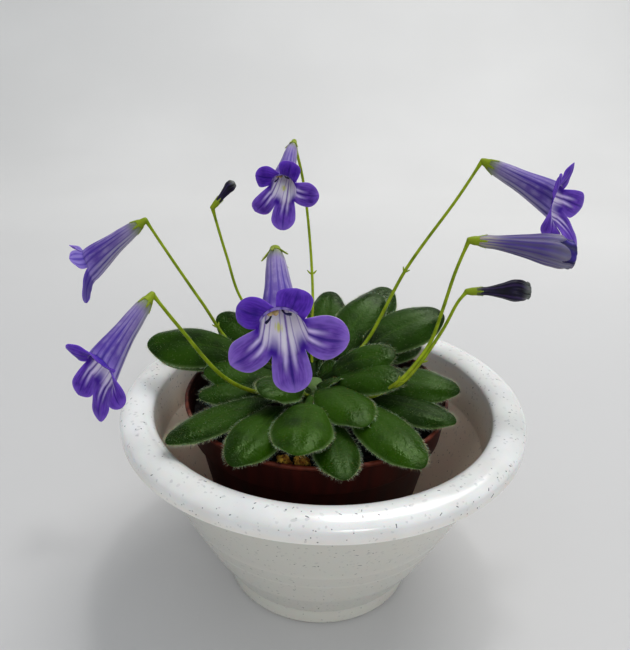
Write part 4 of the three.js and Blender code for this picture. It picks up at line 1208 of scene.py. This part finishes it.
def make_pistil(row, anther_material, hook_material):
    """The filament and its pair of anthers under the roof, and two dark hooked staminodes."""
    flower = Flower(row)
    size, length = flower.size, flower.length
    roof = TUBE.profile[-2][1] * size
    build = Build()
    path = through([(0, 0, 0.04 * length), (0, 0.1 * roof, 0.35 * length), (-0.2, 0.48 * roof, 0.65 * length),
                    (-0.4, 0.62 * roof, 0.8 * length), (-0.5, 0.5 * roof, 0.87 * length)], 40)
    points, faces, along = sweep(path, 0.32 * size, 10)
    build.add(flower.world(points), faces, along=along, tone=along)
    shape = ball(2)
    for hand in (-1, 1):
        points = shape[0] * (0.7, 0.5, 0.85) * size
        middle = path[-1] + np.array([hand * 0.6 - 0.75, -0.1 * hand, -0.1]) * size
        build.add(flower.world(points + middle), [shape[1]])
    node = f"pistil_{flower.name}"
    make_piece(f"tan_{node}", build, anther_material, [node])
    build = Build()
    for points in (((0.4, 0.8, 0.7), (0.75, 0.66, 0.84), (1.35, 0.46, 0.9), (2.7, 0.42, 0.92)),
                   ((-1.2, 0.8, 0.7), (-1.5, 0.5, 0.88), (-2, 0.35, 0.91), (-3.1, 0.2, 0.93))):
        path = through([(x * size, y * roof, z * length) for x, y, z in points], 24)
        skin, faces, along = sweep(path, 0.2 * size * (1 + 0.6 * bell(np.linspace(0, 1, 24), 0.93, 0.08)), 10)
        build.add(flower.world(skin), faces)
    make_piece(f"staminodes_{flower.name}", build, hook_material)


def make_bud(row, material, node, name, swirl=0.5, depth=0.12, turn=0, ends=(1.2,) * 5):
    """A closed or half-open flower with its lobes folded over each other at the end. swirl twists the
    lobes, depth is that of their seams, and ends are the lobes' shares of the length."""
    flower = Flower(row)
    count, rows = 5 * STEPS.lobe_columns, STEPS.bud_rows
    share = 1 - (1 - np.linspace(0, 1, rows)) ** 1.4
    knots = (*flower.profile, (1.0, 0.25 * flower.profile[-1][1]))
    radii = flower.size * curve(knots, share)
    turns = np.radians(TUBE.first_turn + turn) + circle(count)
    across = across_lobes(count)
    ends = np.repeat(ends, STEPS.lobe_columns) - 0.1 * across**2
    inside = smooth(share[:, None] - ends, 0, 0.02)
    swirl = turns[None, :] + swirl * smooth(share, 0.7, 1)[:, None]
    fold = depth * smooth(share, 0.62, 0.85)[:, None]
    ridge = 1 - fold * bell(np.angle(np.exp(5j * (turns - np.radians(TUBE.first_turn)))), 0, 0.7)[None, :]
    flutes = 1 + 0.03 * np.cos(10 * turns)[None, :] * smooth(share, 0.1, 0.5)[:, None]
    r = radii[:, None] * ridge * flutes * (1 - 0.12 * inside)
    height, drop = (share * flower.length)[:, None], flower.belly * (share**2)[:, None]
    points, faces = loft(polar(swirl, r, height, drop=drop))
    lower = smooth(-np.sin(turns), -0.4, 0.9)
    build = Build()
    build.add(flower.world(points), faces, along=[*np.repeat(share, count), 0, 1],
              across=[*np.tile(across, rows), 0.5, 0.5], side=[*(1 - 2 * inside).ravel(), 1, 1],
              tone=[*np.tile(lower, rows), 0.5, 0.5])
    make_piece(name, build, material, [node])


def make_flowers():
    petal = petal_material()
    anther = plain_material("tan_anther", "#a88a5c", "#d6bf92", 0.6, "#74302f")
    hook = plain_material("navy_staminode", "#0b0a2a", "#1c1650", 0.35)
    for row in FLOWERS:
        make_corolla(row, petal)
        make_pistil(row, anther, hook)
    make_bud(OPENING_BUD, opening_material(), "corolla_right_middle", "striped_corolla_right_middle",
             swirl=0.2, depth=0.08, turn=-33, ends=(1.1, 0.95, 0.86, 0.86, 0.9))
    dark = bud_material()
    for row in (RIGHT_BUD, LEFT_BUD):
        make_bud(row, dark, f"bud_{row['name']}", f"dark_bud_{row['name']}")


# Stage, lights and camera

CAMERA = Sizes(place=(0, -215.14, 197.81), pitch=24.42, yaw=-0.969, roll=1.466, focal=698.7,
               picture_height=650)
SWEEP = Sizes(near=-3000, bend=560, radius=500, half_width=3500, top=3200)
WORLD = Sizes(tint=(0.93, 0.97, 1, 1), strength=0.54)
LIGHTS = (
    ("overhead", (0.34, 0.46, 1.1), (0, 0.05, 0.05), 0.8, 5.3, (1, 0.99, 0.97)),
    ("front", (0.3, -0.95, 0.6), (0, 0, 0.1), 0.35, 1.8, (1, 1, 1)),
    ("gloss", (0.14, 0.18, 1.1), (0, 0, 0.08), 0.12, 1.0, (1, 1, 1)),
)


def add_camera():
    pitch, yaw, roll = map(math.radians, (CAMERA.pitch, CAMERA.yaw, CAMERA.roll))
    forward = np.array([math.sin(yaw) * math.cos(pitch), math.cos(yaw) * math.cos(pitch), -math.sin(pitch)])
    flat = unit(np.cross(forward, (0, 0, 1)))
    right, up = (turned(axis, forward, -roll) for axis in (flat, np.cross(flat, forward)))
    data = bpy.data.cameras.new("camera")
    data.sensor_fit = "VERTICAL"
    data.lens = CAMERA.focal / CAMERA.picture_height * data.sensor_height
    data.clip_start, data.clip_end = 0.01, 20
    camera = link("camera", data)
    axes = np.column_stack([right, up, -forward, np.array(CAMERA.place) * MM])
    camera.matrix_world = Matrix([*axes.tolist(), [0, 0, 0, 1]])
    bpy.context.scene.camera = camera


def add_stage():
    s = SWEEP
    bend = [(s.bend + s.radius * math.sin(a), s.radius * (1 - math.cos(a)))
            for a in np.linspace(0, math.pi / 2, 24)]
    profile = [(s.near, 0), *bend, (s.bend + s.radius, s.top)]
    points = np.array([(x, y, z) for y, z in profile for x in (-s.half_width, s.half_width)], float)
    mesh = new_mesh("studio_floor", points, grid(len(profile), 2).tolist())
    look = Look("pale_floor", roughness=0.7)
    base = look.noise(3.0).step(0.3, 0.7).mix("#d7d6d5", "#dedddc")
    # Painted shade: the floor is darker near the planter than out on the sweep.
    mesh.materials.append(look.finish(look.depth.step(0.6, 0.1).mix(base, "#cbcaca")))
    floor = link("studio_floor", mesh)


def add_lights():
    world = bpy.data.worlds.new("studio")
    world.use_nodes = True
    inputs = world.node_tree.nodes["Background"].inputs
    inputs["Color"].default_value, inputs["Strength"].default_value = WORLD.tint, WORLD.strength
    bpy.context.scene.world = world
    for name, place, aim, size, power, tint in LIGHTS:
        data = bpy.data.lights.new(name, "AREA")
        data.shape, data.size, data.energy, data.color = "DISK", size, power, tint
        light = link(name, data)
        light.location = place
        light.rotation_euler = (Vector(aim) - Vector(place)).to_track_quat("-Z", "Y").to_euler()


bpy.context.scene.view_settings.view_transform = "Standard"
bpy.context.scene.view_settings.look = "Medium High Contrast"
add_camera()
add_stage()
add_lights()
make_planter()
make_pot()
make_soil()
make_crumbs()
make_granules()
make_leaves()
make_stems()
make_flowers()
